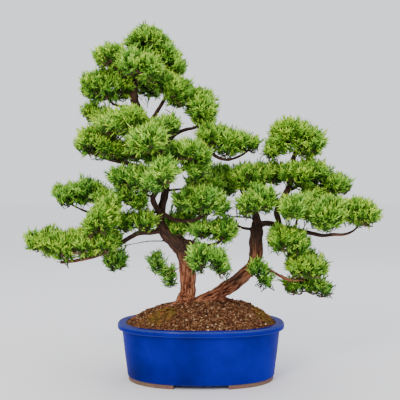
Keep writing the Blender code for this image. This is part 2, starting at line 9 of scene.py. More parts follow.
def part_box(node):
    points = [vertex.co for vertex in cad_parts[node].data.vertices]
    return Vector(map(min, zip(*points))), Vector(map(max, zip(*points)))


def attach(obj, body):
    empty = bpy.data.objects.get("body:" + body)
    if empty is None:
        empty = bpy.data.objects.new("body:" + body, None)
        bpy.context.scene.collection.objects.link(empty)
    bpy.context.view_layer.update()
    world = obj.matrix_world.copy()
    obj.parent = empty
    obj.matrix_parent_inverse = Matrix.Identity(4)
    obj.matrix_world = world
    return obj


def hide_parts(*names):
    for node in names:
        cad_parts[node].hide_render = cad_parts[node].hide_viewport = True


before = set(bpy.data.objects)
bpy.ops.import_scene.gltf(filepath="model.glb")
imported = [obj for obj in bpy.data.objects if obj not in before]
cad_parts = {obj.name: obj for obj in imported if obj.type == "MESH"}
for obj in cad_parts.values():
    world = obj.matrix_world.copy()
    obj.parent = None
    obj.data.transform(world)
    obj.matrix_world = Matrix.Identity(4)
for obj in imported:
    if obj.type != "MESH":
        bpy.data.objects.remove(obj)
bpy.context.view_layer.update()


# Studio. A very wide floor of matt pale paper in an even pale surround, lit by a big soft lamp
# high on the left of the pot's front, a weaker one on the right and one behind. The lens looks
# level at the tree's middle.
def linear(code):
    """The linear colour of an sRGB hex code such as 2f6fb0."""
    parts = [int(code[i:i + 2], 16) / 255 for i in (0, 2, 4)]
    return [c / 12.92 if c <= 0.04045 else ((c + 0.055) / 1.055) ** 2.4 for c in parts] + [1.0]


def add_node(tree, kind, links=None, stops=(), **settings):
    """Adds a node. Settings are its properties; links name its inputs, each a value or a socket.

    Stops are a ramp's places and hex colours, first to last.
    """
    node = tree.nodes.new(kind)
    for name, value in settings.items():
        setattr(node, name, value)
    for name, value in (links or {}).items():
        if isinstance(value, bpy.types.NodeSocket):
            tree.links.new(value, node.inputs[name])
        else:
            node.inputs[name].default_value = value
    if stops:
        marks = node.color_ramp.elements
        for mark, (position, code) in ((marks[0], stops[0]), (marks[-1], stops[-1])):
            mark.position, mark.color = position, linear(code)
        for position, code in stops[1:-1]:
            marks.new(position).color = linear(code)
    return node


def new_material(name, **sockets):
    """A material with its node tree and its Principled shader, whose plain sockets are set here."""
    made = bpy.data.materials.new(name)
    made.use_nodes = True
    shader = made.node_tree.nodes["Principled BSDF"]
    for socket, value in sockets.items():
        shader.inputs[socket.replace("_", " ")].default_value = value
    return made, made.node_tree, shader


def add_piece(name, mesh, materials):
    """Puts a mesh in the scene as a named piece with its materials."""
    piece = bpy.data.objects.new(name, mesh)
    bpy.context.scene.collection.objects.link(piece)
    for made in materials:
        mesh.materials.append(made)
    return piece


def soft_lamp(name, place, target, size, watts, colour):
    """A round lamp this wide in metres, turned from its place to its target."""
    light = bpy.data.lights.new(name, "AREA")
    light.shape = "DISK"
    light.size = size
    light.energy = watts
    light.color = linear(colour)[:3]
    lamp = bpy.data.objects.new(name, light)
    bpy.context.scene.collection.objects.link(lamp)
    lamp.location = place
    lamp.rotation_euler = (Vector(target) - Vector(place)).to_track_quat("-Z", "Y").to_euler()


CAMERA_PLACE = (-0.0018, -1.345, 0.325)
LENS_LENGTH = 65.7  # mm
camera_data = bpy.data.cameras.new("camera")
camera_data.lens = LENS_LENGTH
camera_data.sensor_width = 36
camera_data.clip_end = 200
camera = bpy.data.objects.new("camera", camera_data)
bpy.context.scene.collection.objects.link(camera)
camera.location = CAMERA_PLACE
camera.rotation_euler = (math.pi / 2, 0, 0)
bpy.context.scene.camera = camera

FLOOR_RADIUS = 60.0  # metres, so that its edge lies at the horizon
floor_bm = bmesh.new()
bmesh.ops.create_circle(floor_bm, cap_ends=True, segments=96, radius=FLOOR_RADIUS)
floor_mesh = bpy.data.meshes.new("floor")
floor_bm.to_mesh(floor_mesh)
floor_bm.free()
paper, nodes, shader = new_material(
    "studio_paper", Base_Color=linear("f7f7f9"), Roughness=0.85, Specular_IOR_Level=0.2
)
floor = add_piece("floor", floor_mesh, [paper])

SURROUND_STRENGTH = 1.6
world = bpy.data.worlds.new("surround")
world.use_nodes = True
bpy.context.scene.world = world
surround = world.node_tree.nodes["Background"]
surround.inputs["Color"].default_value = linear("e4e6ec")
surround.inputs["Strength"].default_value = SURROUND_STRENGTH

soft_lamp("key_lamp", (-0.9, -2.2, 1.5), (0, 0, 0.3), 0.8, 42, "fff4e0")
soft_lamp("side_lamp", (1.9, -1.2, 1.2), (0, 0, 0.3), 1.4, 8, "eef3ff")
soft_lamp("back_lamp", (0.3, 1.9, 1.9), (0, 0, 0.35), 1.2, 8, "ffffff")


# Pot. A slip-cast oval bonsai pot, 305 mm over a rounded lip that overhangs the wall, on two long
# C-shaped feet of bare clay. The cobalt glaze stops above the feet and breaks thin along the lip,
# where its paler colour is partly a painted highlight.
MM = 0.001
_, POT_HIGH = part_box("pot")
HALF_LENGTH, HALF_DEPTH, RIM_TOP = POT_HIGH.x / MM, POT_HIGH.y / MM, POT_HIGH.z / MM
PLAN_POWER = 2.3
FOOT_HEIGHT, FOOT_OUT, FOOT_IN, FOOT_GAP_HALF = 7, 20, 34, 47.5
DRAIN_RADIUS, DRAIN_X = 11, 62
POT_TURNS = 176


def plan_ring(inset, z, turns):
    """A level ring of the pot's plan, this far inside the rim, as points in metres."""
    turn = np.linspace(0, 2 * math.pi, turns, endpoint=False)
    x = np.sign(np.cos(turn)) * np.abs(np.cos(turn)) ** (2 / PLAN_POWER) * (HALF_LENGTH - inset)
    y = np.sign(np.sin(turn)) * np.abs(np.sin(turn)) ** (2 / PLAN_POWER) * (HALF_DEPTH - inset)
    return np.stack([x, y, np.full(turns, float(z))], 1) * MM


def eased_profile(corners, steps=6):
    """A profile through corners of (inset, z, radius, thin glaze with painted highlight), each
    corner rounded.
    """
    out = []
    for i, (inset, z, radius, thin) in enumerate(corners):
        here = Vector((inset, z))
        if radius == 0 or i in (0, len(corners) - 1):
            out.append((inset, z, thin))
            continue
        ends = []
        for other in (corners[i - 1], corners[i + 1]):
            way = Vector(other[:2]) - here
            ends.append(here + way.normalized() * min(radius, way.length * 0.48))
        for step in range(steps + 1):
            t = step / steps
            point = ends[0] * (1 - t) ** 2 + here * 2 * t * (1 - t) + ends[1] * t * t
            out.append((point.x, point.y, thin * math.sin(math.pi * t)))
    return out


def skin(bm, rings):
    """Joins rings of as many points each into a closed skin with a cap at both ends."""
    loops = [[bm.verts.new(point) for point in ring] for ring in rings]
    for low, high in zip(loops, loops[1:]):
        for i in range(len(low)):
            j = (i + 1) % len(low)
            bm.faces.new((low[i], low[j], high[j], high[i]))
    bm.faces.new(list(reversed(loops[0])))
    bm.faces.new(loops[-1])
    return loops


def finished_mesh(name, bm, smooth=True):
    bmesh.ops.recalc_face_normals(bm, faces=bm.faces)
    mesh = bpy.data.meshes.new(name)
    bm.to_mesh(mesh)
    bm.free()
    if smooth:
        mesh.shade_smooth()
    return mesh


def settled_mesh(piece):
    """Applies a piece's modifiers to its mesh."""
    graph = bpy.context.evaluated_depsgraph_get()
    mesh = bpy.data.meshes.new_from_object(piece.evaluated_get(graph), depsgraph=graph)
    piece.modifiers.clear()
    piece.data = mesh
    return mesh


LIP_FOOT, INNER_LEDGE, FLOOR_TOP = RIM_TOP - 11, RIM_TOP - 12, 15
# The last number at each corner is how pale the glaze is there: partly the real thin glaze over an
# edge, and partly a painted highlight along the lip's crest.
pot_profile = eased_profile([
    (40, FOOT_HEIGHT, 0, 0), (18.2, FOOT_HEIGHT, 3.5, 0.25), (16.6, 22, 12, 0),
    (13.0, 48, 20, 0), (9.8, 76, 18, 0), (8.2, LIP_FOOT, 2.6, 0), (0.3, LIP_FOOT + 0.4, 2.6, 0.6),
    (0, RIM_TOP, 4.2, 1.0), (16, RIM_TOP, 3.6, 0.9), (16.4, INNER_LEDGE, 4, 0),
    (26, FLOOR_TOP, 0, 0),
])
pot_bm = bmesh.new()
thin_glaze_highlight_layer = pot_bm.verts.layers.float.new("thin_glaze_and_highlight")
pot_loops = skin(pot_bm, [plan_ring(inset, z, POT_TURNS) for inset, z, _ in pot_profile])
for loop, (_, _, thin) in zip(pot_loops, pot_profile):
    for vert in loop:
        vert[thin_glaze_highlight_layer] = thin
pot_mesh = finished_mesh("pot_body", pot_bm)
SHARP_ANGLE = math.radians(50)
pot_mesh.set_sharp_from_angle(angle=SHARP_ANGLE)

# The glaze: fired cobalt glass over stoneware, about a millimetre thick, glossy with a slight
# orange peel. Its blue drifts darker and lighter, is finely specked, and shows paler and greyer
# along the lip's edges, partly where it really breaks thin and partly a painted highlight. The
# specks are drawn coarser than the real half millimetre so that they show.
COLOUR_DRIFT, SPECK, ORANGE_PEEL = 83.3 * MM, 2.38 * MM, 7.14 * MM
glaze, nodes, shader = new_material(
    "cobalt_glaze", IOR=1.52, Coat_Weight=0.17, Coat_Roughness=0.09, Specular_IOR_Level=0.0
)
place = add_node(nodes, "ShaderNodeTexCoord")
drifts = add_node(
    nodes, "ShaderNodeTexNoise",
    {"Vector": place.outputs["Object"], "Scale": 1 / COLOUR_DRIFT, "Detail": 4.0},
)
specks = add_node(
    nodes, "ShaderNodeTexNoise",
    {"Vector": place.outputs["Object"], "Scale": 1 / SPECK, "Detail": 3.0},
)
body_tone = add_node(
    nodes, "ShaderNodeValToRGB", {"Fac": drifts.outputs["Fac"]},
    stops=((0.25, "000250"), (0.7, "000c92")),
)
specked = add_node(
    nodes, "ShaderNodeMixRGB",
    {"Fac": 0.22, "Color1": body_tone.outputs["Color"], "Color2": specks.outputs["Fac"]},
    blend_type="OVERLAY",
)
thin = add_node(nodes, "ShaderNodeAttribute", attribute_name="thin_glaze_and_highlight")
thin_glaze_highlight_share = add_node(
    nodes, "ShaderNodeMath", {0: thin.outputs["Fac"], 1: specks.outputs["Fac"]},
    operation="MULTIPLY",
)
# Paler grey blue at the lip's edges: thin glaze plus a painted highlight along the crest.
glaze_break_and_highlight = add_node(
    nodes, "ShaderNodeMixRGB",
    {"Fac": thin_glaze_highlight_share.outputs["Value"], "Color1": specked.outputs["Color"],
     "Color2": linear("44548a")},
)
nodes.links.new(glaze_break_and_highlight.outputs["Color"], shader.inputs["Base Color"])
gloss = add_node(
    nodes, "ShaderNodeMapRange", {"Value": drifts.outputs["Fac"], "To Min": 0.16, "To Max": 0.3}
)
nodes.links.new(gloss.outputs["Result"], shader.inputs["Roughness"])
peel = add_node(
    nodes, "ShaderNodeTexNoise",
    {"Vector": place.outputs["Object"], "Scale": 1 / ORANGE_PEEL, "Detail": 1.0},
)
peel_bump = add_node(
    nodes, "ShaderNodeBump",
    {"Height": peel.outputs["Fac"], "Strength": 0.1, "Distance": 0.6 * MM},
)
nodes.links.new(peel_bump.outputs["Normal"], shader.inputs["Normal"])

pot = add_piece("pot_body", pot_mesh, [glaze])
CUTTER_LENGTH, CUTTER_MIDDLE = 40, 12
cutters = []
for x in (-DRAIN_X, DRAIN_X):
    hole_bm = bmesh.new()
    bmesh.ops.create_cone(
        hole_bm, cap_ends=True, segments=48, radius1=DRAIN_RADIUS * MM, radius2=DRAIN_RADIUS * MM,
        depth=CUTTER_LENGTH * MM,
    )
    bmesh.ops.translate(hole_bm, verts=hole_bm.verts, vec=(x * MM, 0, CUTTER_MIDDLE * MM))
    cutter = add_piece("hole", finished_mesh("hole", hole_bm, False), [])
    hole = pot.modifiers.new("hole", "BOOLEAN")
    hole.solver, hole.object = "EXACT", cutter
    cutters.append(cutter)
settled_mesh(pot)
for cutter in cutters:
    bpy.data.objects.remove(cutter)
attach(pot, "root")
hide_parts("pot")


# Feet. The same stoneware left bare and fired pinkish brown, in two long arcs with a gap front
# and back. Bare fired clay is matt, gritty and a little blotched. The grit is drawn at about a
# millimetre, coarser than real grog, so that it shows.
GRIT, BLOTCH = 1.11 * MM, 16.7 * MM
clay, nodes, shader = new_material("bare_stoneware_clay", Specular_IOR_Level=0.3)
place = add_node(nodes, "ShaderNodeTexCoord")
grit = add_node(
    nodes, "ShaderNodeTexNoise",
    {"Vector": place.outputs["Object"], "Scale": 1 / GRIT, "Detail": 4.0},
)
blotches = add_node(
    nodes, "ShaderNodeTexNoise",
    {"Vector": place.outputs["Object"], "Scale": 1 / BLOTCH, "Detail": 5.0},
)
grit_tone = add_node(
    nodes, "ShaderNodeValToRGB", {"Fac": grit.outputs["Fac"]},
    stops=((0.3, "4a3226"), (0.7, "86685a")),
)
blotched = add_node(
    nodes, "ShaderNodeMixRGB",
    {"Fac": 0.5, "Color1": grit_tone.outputs["Color"], "Color2": blotches.outputs["Color"]},
    blend_type="SOFT_LIGHT",
)
nodes.links.new(blotched.outputs["Color"], shader.inputs["Base Color"])
chalk = add_node(
    nodes, "ShaderNodeMapRange", {"Value": grit.outputs["Fac"], "To Min": 0.75, "To Max": 0.95}
)
nodes.links.new(chalk.outputs["Result"], shader.inputs["Roughness"])
grit_bump = add_node(
    nodes, "ShaderNodeBump",
    {"Height": grit.outputs["Fac"], "Strength": 0.4, "Distance": 0.5 * MM},
)
nodes.links.new(grit_bump.outputs["Normal"], shader.inputs["Normal"])

foot_profile = eased_profile([
    (FOOT_IN, FOOT_HEIGHT, 0, 0), (FOOT_IN, 0, 1.6, 0),
    (FOOT_OUT, 0, 1.6, 0), (FOOT_OUT, FOOT_HEIGHT, 0, 0),
])
for side, name in ((-1, "left_foot"), (1, "right_foot")):
    foot_bm = bmesh.new()
    loops = [
        [foot_bm.verts.new(point) for point in plan_ring(inset, z, POT_TURNS)]
        for inset, z, _ in foot_profile
    ]
    for low, high in zip(loops, loops[1:] + loops[:1]):
        for i in range(POT_TURNS):
            j = (i + 1) % POT_TURNS
            foot_bm.faces.new((low[i], low[j], high[j], high[i]))
    everything = foot_bm.verts[:] + foot_bm.edges[:] + foot_bm.faces[:]
    sliced = bmesh.ops.bisect_plane(
        foot_bm, geom=everything, plane_co=(side * FOOT_GAP_HALF * MM, 0, 0), plane_no=(side, 0, 0),
        clear_inner=True,
    )
    cut_edges = [part for part in sliced["geom_cut"] if isinstance(part, bmesh.types.BMEdge)]
    bmesh.ops.holes_fill(foot_bm, edges=cut_edges)
    foot_mesh = finished_mesh(name, foot_bm)
    foot_mesh.set_sharp_from_angle(angle=SHARP_ANGLE)
    foot = add_piece(name, foot_mesh, [clay])
    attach(foot, "root")
    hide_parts("pot")


# Drain mesh and its wires. Black moulded polyethylene net over each hole, held by a bent length of
# brown anodised aluminium wire. Both are the solid's own shape with the real finish put on it.
# The net is half matt and scuffed grey; the wire has a dull brown metal shine, uneven as drawn.
SCUFF, DRAW_MARK = 2.0 * MM, 1.43 * MM
net, nodes, shader = new_material("moulded_polyethylene", IOR=1.51, Specular_IOR_Level=0.4)
place = add_node(nodes, "ShaderNodeTexCoord")
scuffs = add_node(
    nodes, "ShaderNodeTexNoise",
    {"Vector": place.outputs["Object"], "Scale": 1 / SCUFF, "Detail": 4.0},
)
net_tone = add_node(
    nodes, "ShaderNodeValToRGB", {"Fac": scuffs.outputs["Fac"]},
    stops=((0.0, "0b0c0c"), (1.0, "2a2c2b")),
)
nodes.links.new(net_tone.outputs["Color"], shader.inputs["Base Color"])
net_rough = add_node(
    nodes, "ShaderNodeMapRange", {"Value": scuffs.outputs["Fac"], "To Min": 0.45, "To Max": 0.7}
)
nodes.links.new(net_rough.outputs["Result"], shader.inputs["Roughness"])

wire, nodes, shader = new_material("anodised_aluminium_wire", Metallic=1.0)
place = add_node(nodes, "ShaderNodeTexCoord")
drawn = add_node(
    nodes, "ShaderNodeTexNoise",
    {"Vector": place.outputs["Object"], "Scale": 1 / DRAW_MARK, "Detail": 3.0},
)
wire_tone = add_node(
    nodes, "ShaderNodeValToRGB", {"Fac": drawn.outputs["Fac"]},
    stops=((0.0, "6b4a33"), (1.0, "a67c5c")),
)
nodes.links.new(wire_tone.outputs["Color"], shader.inputs["Base Color"])
wire_rough = add_node(
    nodes, "ShaderNodeMapRange", {"Value": drawn.outputs["Fac"], "To Min": 0.3, "To Max": 0.5}
)
nodes.links.new(wire_rough.outputs["Result"], shader.inputs["Roughness"])

for name, finish in (("drain_mesh_left", net), ("drain_mesh_right", net),
                     ("mesh_wire_left", wire), ("mesh_wire_right", wire)):
    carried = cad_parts[name]
    carried.data.materials.clear()
    carried.data.materials.append(finish)


# Soil. Fired clay granules, pumice and bark crumbs, heaped to a mound round the trunks and filling
# the pot. Here the mound is one closed skin with a lumpy top.
_, SOIL_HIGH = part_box("soil")
SOIL_HALF_X, SOIL_HALF_Y, CROWN = SOIL_HIGH.x / MM, SOIL_HIGH.y / MM, SOIL_HIGH.z / MM
SOIL_EDGE = RIM_TOP - 3
MOUND_POWER = 2.3
SOIL_BOTTOM = 20  # clear of the drain mesh and its wire


def soil_top(x, y):
    """Height of the smooth mound, all in millimetres, with a swell over the right trunk's root."""
    out = np.abs(x / SOIL_HALF_X) ** PLAN_POWER + np.abs(y / SOIL_HALF_Y) ** PLAN_POWER
    out = np.minimum(out ** (1 / PLAN_POWER), 1.0)
    root_swell = 10 * np.exp(-((x - 79) / 37) ** 2 - ((y + 4) / 42) ** 2)
    return SOIL_EDGE + (CROWN - SOIL_EDGE) * (1 - out ** MOUND_POWER) + root_swell


LUMP, CRUMB = 19, 3.1


def lumps(x, y):
    """How far the soil's lumps stand over or under the smooth mound there, in millimetres."""
    coarse = noise.fractal(Vector((x / LUMP, y / LUMP, 3.7)), 1.0, 2.0, 3)
    fine = noise.noise(Vector((x / CRUMB, y / CRUMB, 8.2)))
    return 1.7 * coarse + 0.9 * fine - 0.8


SOIL_TURNS, SOIL_RINGS = 260, 84
BOTTOM_INSET, SIDE_INSET, EDGE_INSET = 25, 16.6, 16.4
soil_bm = bmesh.new()
rings = [
    plan_ring(BOTTOM_INSET, SOIL_BOTTOM, SOIL_TURNS),
    plan_ring(SIDE_INSET, SOIL_EDGE - 6, SOIL_TURNS),
]
edge = plan_ring(EDGE_INSET, 0, SOIL_TURNS) / MM
for k in range(SOIL_RINGS):
    level = edge[:, :2] * (1 - k / SOIL_RINGS)
    rings.append(np.array([(x, y, soil_top(x, y) + lumps(x, y)) for x, y in level]) * MM)
skin(soil_bm, rings)
soil_mesh = finished_mesh("soil_mound", soil_bm)

# Packed granules and bark crumbs: dull, from dark brown to tan crumb by crumb, darker where damp.
CRUMB_CELL, DAMP_PATCH = 3.03 * MM, 26.3 * MM
earth, nodes, shader = new_material(
    "akadama_and_bark_soil", Roughness=0.95, Specular_IOR_Level=0.15
)
place = add_node(nodes, "ShaderNodeTexCoord")
crumbs = add_node(
    nodes, "ShaderNodeTexVoronoi", {"Vector": place.outputs["Object"], "Scale": 1 / CRUMB_CELL}
)
damp = add_node(
    nodes, "ShaderNodeTexNoise",
    {"Vector": place.outputs["Object"], "Scale": 1 / DAMP_PATCH, "Detail": 5.0},
)
crumb_tone = add_node(nodes, "ShaderNodeSeparateColor", {"Color": crumbs.outputs["Color"]})
earth_tone = add_node(
    nodes, "ShaderNodeValToRGB", {"Fac": crumb_tone.outputs["Red"]},
    stops=((0.0, "2c170c"), (0.6, "6b4022"), (0.95, "a5825f")),
)
damp_tone = add_node(
    nodes, "ShaderNodeMapRange", {"Value": damp.outputs["Fac"], "To Min": 0.55, "To Max": 1.15}
)
wet = add_node(
    nodes, "ShaderNodeMixRGB",
    {"Fac": 1.0, "Color1": earth_tone.outputs["Color"], "Color2": damp_tone.outputs["Result"]},
    blend_type="MULTIPLY",
)
nodes.links.new(wet.outputs["Color"], shader.inputs["Base Color"])
crumb_bump = add_node(
    nodes, "ShaderNodeBump",
    {"Height": crumbs.outputs["Distance"], "Strength": 0.8, "Distance": 1.2 * MM},
)
nodes.links.new(crumb_bump.outputs["Normal"], shader.inputs["Normal"])

soil = add_piece("soil_mound", soil_mesh, [earth])
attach(soil, "root")
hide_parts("soil")


# Loose grains. Granules of akadama, pumice and bark, 1.2 to 5.5 mm, strewn over the mound and half
# sunk in it. Each is a rough crumb in one of four shapes, copied at its own size and turn.
def place_many(shape, points, axes, sizes, rolls):
    """Copies one small shape to many places. Each copy's own z axis points along its axis."""
    verts, faces = shape
    z = axes / np.linalg.norm(axes, axis=1, keepdims=True)
    helper = np.where(np.abs(z[:, 2:3]) < 0.9, [[0.0, 0.0, 1.0]], [[1.0, 0.0, 0.0]])
    x = np.cross(helper, z)
    x /= np.linalg.norm(x, axis=1, keepdims=True)
    y = np.cross(z, x)
    cos, sin = np.cos(rolls)[:, None], np.sin(rolls)[:, None]
    x, y = x * cos + y * sin, y * cos - x * sin
    scaled = verts[None, :, :] * sizes[:, None, None]
    placed = scaled[..., 0:1] * x[:, None] + scaled[..., 1:2] * y[:, None]
    placed = placed + scaled[..., 2:3] * z[:, None]
    placed += points[:, None, :]
    steps = (np.arange(len(points)) * len(verts))[:, None]
    corners = np.concatenate([np.asarray(face) for face in faces])
    loops = (corners[None, :] + steps).ravel()
    counts = np.tile([len(face) for face in faces], len(points))
    return placed.reshape(-1, 3), loops, counts


def mesh_of(name, parts):
    """One smooth mesh from several groups of (points, loops, counts)."""
    starts = np.cumsum([0] + [len(part[0]) for part in parts])
    points = np.concatenate([part[0] for part in parts])
    loops = np.concatenate([part[1] + start for part, start in zip(parts, starts)])
    counts = np.concatenate([part[2] for part in parts])
    mesh = bpy.data.meshes.new(name)
    mesh.vertices.add(len(points))
    mesh.vertices.foreach_set("co", points.astype(np.float32).ravel())
    mesh.loops.add(len(loops))
    mesh.loops.foreach_set("vertex_index", loops.astype(np.int32))
    mesh.polygons.add(len(counts))
    mesh.polygons.foreach_set("loop_start", (np.cumsum(counts) - counts).astype(np.int32))
    mesh.polygons.foreach_set("use_smooth", np.ones(len(counts), bool))
    mesh.update(calc_edges=True)
    mesh.validate()
    return mesh


def set_values(mesh, name, values):
    """Gives every vertex one number under this name, for the material to read."""
    layer = mesh.attributes.new(name, "FLOAT", "POINT")
    layer.data.foreach_set("value", np.asarray(values, np.float32))


MAP_EDGE, MAP_SPAN, MAP_APART = 0.015, 0.97, 0.006


def colour_map(mesh, across, up, sides):
    """Maps a mesh for the bake by what sets its colour, so that points of one colour share a place.

    The corners of each ring, this many to a turn, are set a little apart to give faces width.
    """
    turn = np.arange(len(mesh.vertices)) * 2 * math.pi / sides
    across = MAP_EDGE + MAP_SPAN * across + MAP_APART * np.cos(turn)
    up = MAP_EDGE + MAP_SPAN * up + MAP_APART * np.sin(turn)
    corners = np.empty(len(mesh.loops), np.int32)
    mesh.loops.foreach_get("vertex_index", corners)
    places = np.stack([across, up], 1)[corners].astype(np.float32)
    mesh.uv_layers.new(name="OFBake").data.foreach_set("uv", places.ravel())


def crumb_shape(rng):
    """A rough closed crumb about a unit across: a jittered icosahedron."""
    bm = bmesh.new()
    bmesh.ops.create_icosphere(bm, subdivisions=1, radius=0.5)
    verts = np.array([vert.co for vert in bm.verts]) * rng.uniform(0.8, 1.2, (len(bm.verts), 1))
    faces = [[vert.index for vert in face.verts] for face in bm.faces]
    bm.free()
    return verts * rng.uniform(0.75, 1.15, (1, 3)), faces


def on_mound(rng, count):
    """Up to this many places spread evenly over the soil, with its slope's normal there."""
    spots = rng.uniform(-1, 1, (count * 2, 2))
    inside = (np.abs(spots) ** PLAN_POWER).sum(1) < 0.985
    spots = spots[inside][:count] * (SOIL_HALF_X, SOIL_HALF_Y)
    x, y = spots[:, 0], spots[:, 1]
    rise_x = (soil_top(x + 1, y) - soil_top(x - 1, y)) / 2
    rise_y = (soil_top(x, y + 1) - soil_top(x, y - 1)) / 2
    normal = np.stack([-rise_x, -rise_y, np.ones(len(x))], 1)
    height = soil_top(x, y) + np.array([lumps(a, b) for a, b in spots])
    return np.stack([x, y, height], 1) * MM, normal


GRAINS, GRAIN_LOW, GRAIN_HIGH, SUNK_SHARE = 6200, 1.2, 5.5, 0.16
FULL_TURN = 6.28
rng = np.random.default_rng(11)
grain_parts, grain_tones = [], []
for kind in range(4):
    shape = crumb_shape(rng)
    spots, normals = on_mound(rng, GRAINS // 4)
    count = len(spots)
    sizes = rng.gamma(5.0, 0.46, count).clip(GRAIN_LOW, GRAIN_HIGH) * MM
    spots += normals * (sizes * SUNK_SHARE)[:, None]
    axes, rolls = rng.normal(size=(count, 3)), rng.uniform(0, FULL_TURN, count)
    grain_parts.append(place_many(shape, spots, axes, sizes, rolls))
    grain_tones.append(np.repeat(rng.uniform(0, 1, count), len(shape[0])))
grain_mesh = mesh_of("soil_grains", grain_parts)
grain_tones = np.concatenate(grain_tones)
set_values(grain_mesh, "tone", grain_tones)
crumb_points = len(shape[0])
across = np.repeat(rng.uniform(0, 1, len(grain_tones) // crumb_points), crumb_points)
CRUMB_SIDES = 4.7  # not whole, since a crumb's points aren't in rings
colour_map(grain_mesh, across, grain_tones, CRUMB_SIDES)

# Fired clay, pumice and bark granules: dull, each of one tone, from dark bark to cream pumice.
# The pores are drawn at two thirds of a millimetre, coarser than real ones, so that they show.
PORE = 0.667 * MM
grain, nodes, shader = new_material(
    "granules_of_akadama_and_pumice", Roughness=0.93, Specular_IOR_Level=0.2
)
tone = add_node(nodes, "ShaderNodeAttribute", attribute_name="tone")
kinds = add_node(
    nodes, "ShaderNodeValToRGB", {"Fac": tone.outputs["Fac"]},
    stops=((0.0, "331b10"), (0.22, "54301c"), (0.45, "6f4327"), (0.66, "86583a"), (0.82, "9c7a5c"),
           (0.93, "bda483")),
)
kinds.color_ramp.interpolation = "CONSTANT"
place = add_node(nodes, "ShaderNodeTexCoord")
pores = add_node(
    nodes, "ShaderNodeTexNoise",
    {"Vector": place.outputs["Object"], "Scale": 1 / PORE, "Detail": 2.0},
)
pore_tone = add_node(
    nodes, "ShaderNodeMapRange", {"Value": pores.outputs["Fac"], "To Min": 0.6, "To Max": 1.25}
)
pored = add_node(
    nodes, "ShaderNodeMixRGB",
    {"Fac": 1.0, "Color1": kinds.outputs["Color"], "Color2": pore_tone.outputs["Result"]},
    blend_type="MULTIPLY",
)
nodes.links.new(pored.outputs["Color"], shader.inputs["Base Color"])
grains = add_piece("soil_grains", grain_mesh, [grain])
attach(grains, "root")
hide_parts("soil")


# Duff. Dead reddish juniper shoots, 4 to 9 mm long, fallen on the soil and lying nearly flat. Each
# is a thin three-sided tube, slightly bent.
def tube_shape(path, radii, sides, start_turn=0.0):
    """A closed tapering tube along a path, ending in a point: points, faces and share along it."""
    path = np.asarray(path, float)
    verts, along, across = [], [], np.array([0.31, 0.83, 0.11])
    steps = np.linalg.norm(np.diff(path, axis=0), axis=1)
    shares = np.concatenate([[0], np.cumsum(steps)]) / steps.sum()
    for i in range(len(path) - 1):
        forward = path[i + 1] - path[max(i - 1, 0)]
        forward /= np.linalg.norm(forward)
        across = across - forward * (across @ forward)
        across /= np.linalg.norm(across)
        other = np.cross(forward, across)
        turns = start_turn + np.arange(sides) * 2 * math.pi / sides
        verts += [path[i] + radii[i] * (across * math.cos(a) + other * math.sin(a)) for a in turns]
        along += [shares[i]] * sides
    verts.append(path[-1])
    along.append(1.0)
    faces = [list(range(sides))[::-1]]
    for i in range(len(path) - 2):
        for k in range(sides):
            a, b = i * sides + k, i * sides + (k + 1) % sides
            faces.append([a, b, b + sides, a + sides])
    last = (len(path) - 2) * sides
    faces += [[last + k, last + (k + 1) % sides, last + sides] for k in range(sides)]
    return np.array(verts), faces, np.array(along)


DEAD_SHOOTS = 2600
duff_parts, duff_tones, duff_shares = [], [], []
for kind in range(3):
    bend = 0.12 * (kind - 1)
    verts, faces, share = tube_shape([(0, 0, -0.5), (bend, 0, 0.1), (0, 0, 0.5)], (0.07, 0.08), 3)
    spots, normals = on_mound(rng, DEAD_SHOOTS // 3)
    count = len(spots)
    flat = np.cross(normals, rng.normal(size=(count, 3)))
    flat /= np.linalg.norm(flat, axis=1, keepdims=True)
    flat = flat + normals * rng.uniform(-0.1, 0.35, (count, 1))
    spots += normals * (rng.uniform(0.3, 1.6, (count, 1)) * MM)
    sizes = rng.uniform(4, 9, count) * MM
    rolls = rng.uniform(0, FULL_TURN, count)
    duff_parts.append(place_many((verts, faces), spots, flat, sizes, rolls))
    duff_tones.append(np.repeat(rng.uniform(0, 1, count), len(verts)))
    duff_shares.append(np.tile(share, count))
duff_mesh = mesh_of("soil_duff", duff_parts)
set_values(duff_mesh, "tone", np.concatenate(duff_tones))
colour_map(duff_mesh, np.concatenate(duff_shares), np.concatenate(duff_tones), 3)

# Dried scale leaf: dull, faded from green to red brown and straw.
dead_leaf, nodes, shader = new_material("dry_juniper_duff", Roughness=0.85, Specular_IOR_Level=0.25)
tone = add_node(nodes, "ShaderNodeAttribute", attribute_name="tone")
duff_tone = add_node(
    nodes, "ShaderNodeValToRGB", {"Fac": tone.outputs["Fac"]},
    stops=((0.0, "4a2415"), (1.0, "9d6a45")),
)
nodes.links.new(duff_tone.outputs["Color"], shader.inputs["Base Color"])
duff = add_piece("soil_duff", duff_mesh, [dead_leaf])
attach(duff, "root")
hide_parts("soil")


# Moss. Two low cushions of short olive moss on the soil, each a closed mound with thousands of
# pointed shoots 1 to 5 mm long standing out of it in tufts. The shoots are drawn about three times
# as thick as real ones so that they show.

# Living and dried moss: matt, olive at the tips, with some tufts dried brown. It darkens to near
# black at the foot and on the cushion, partly browner old stems and partly painted shade among the
# shoots.
moss_green, nodes, shader = new_material("cushion_moss", Roughness=0.9, Specular_IOR_Level=0.15)
height = add_node(nodes, "ShaderNodeAttribute", attribute_name="along")
tone = add_node(nodes, "ShaderNodeAttribute", attribute_name="tone")
# The near-black foot of this ramp is partly painted shade under the shoots.
moss_depth = add_node(
    nodes, "ShaderNodeValToRGB", {"Fac": height.outputs["Fac"]},
    stops=((0.0, "180f05"), (1.0, "83742e")),
)
moss_dry = add_node(
    nodes, "ShaderNodeMixRGB",
    {"Fac": tone.outputs["Fac"], "Color1": moss_depth.outputs["Color"], "Color2": linear("a06a3c")},
)
nodes.links.new(moss_dry.outputs["Color"], shader.inputs["Base Color"])

CUSHION_TURNS = 64
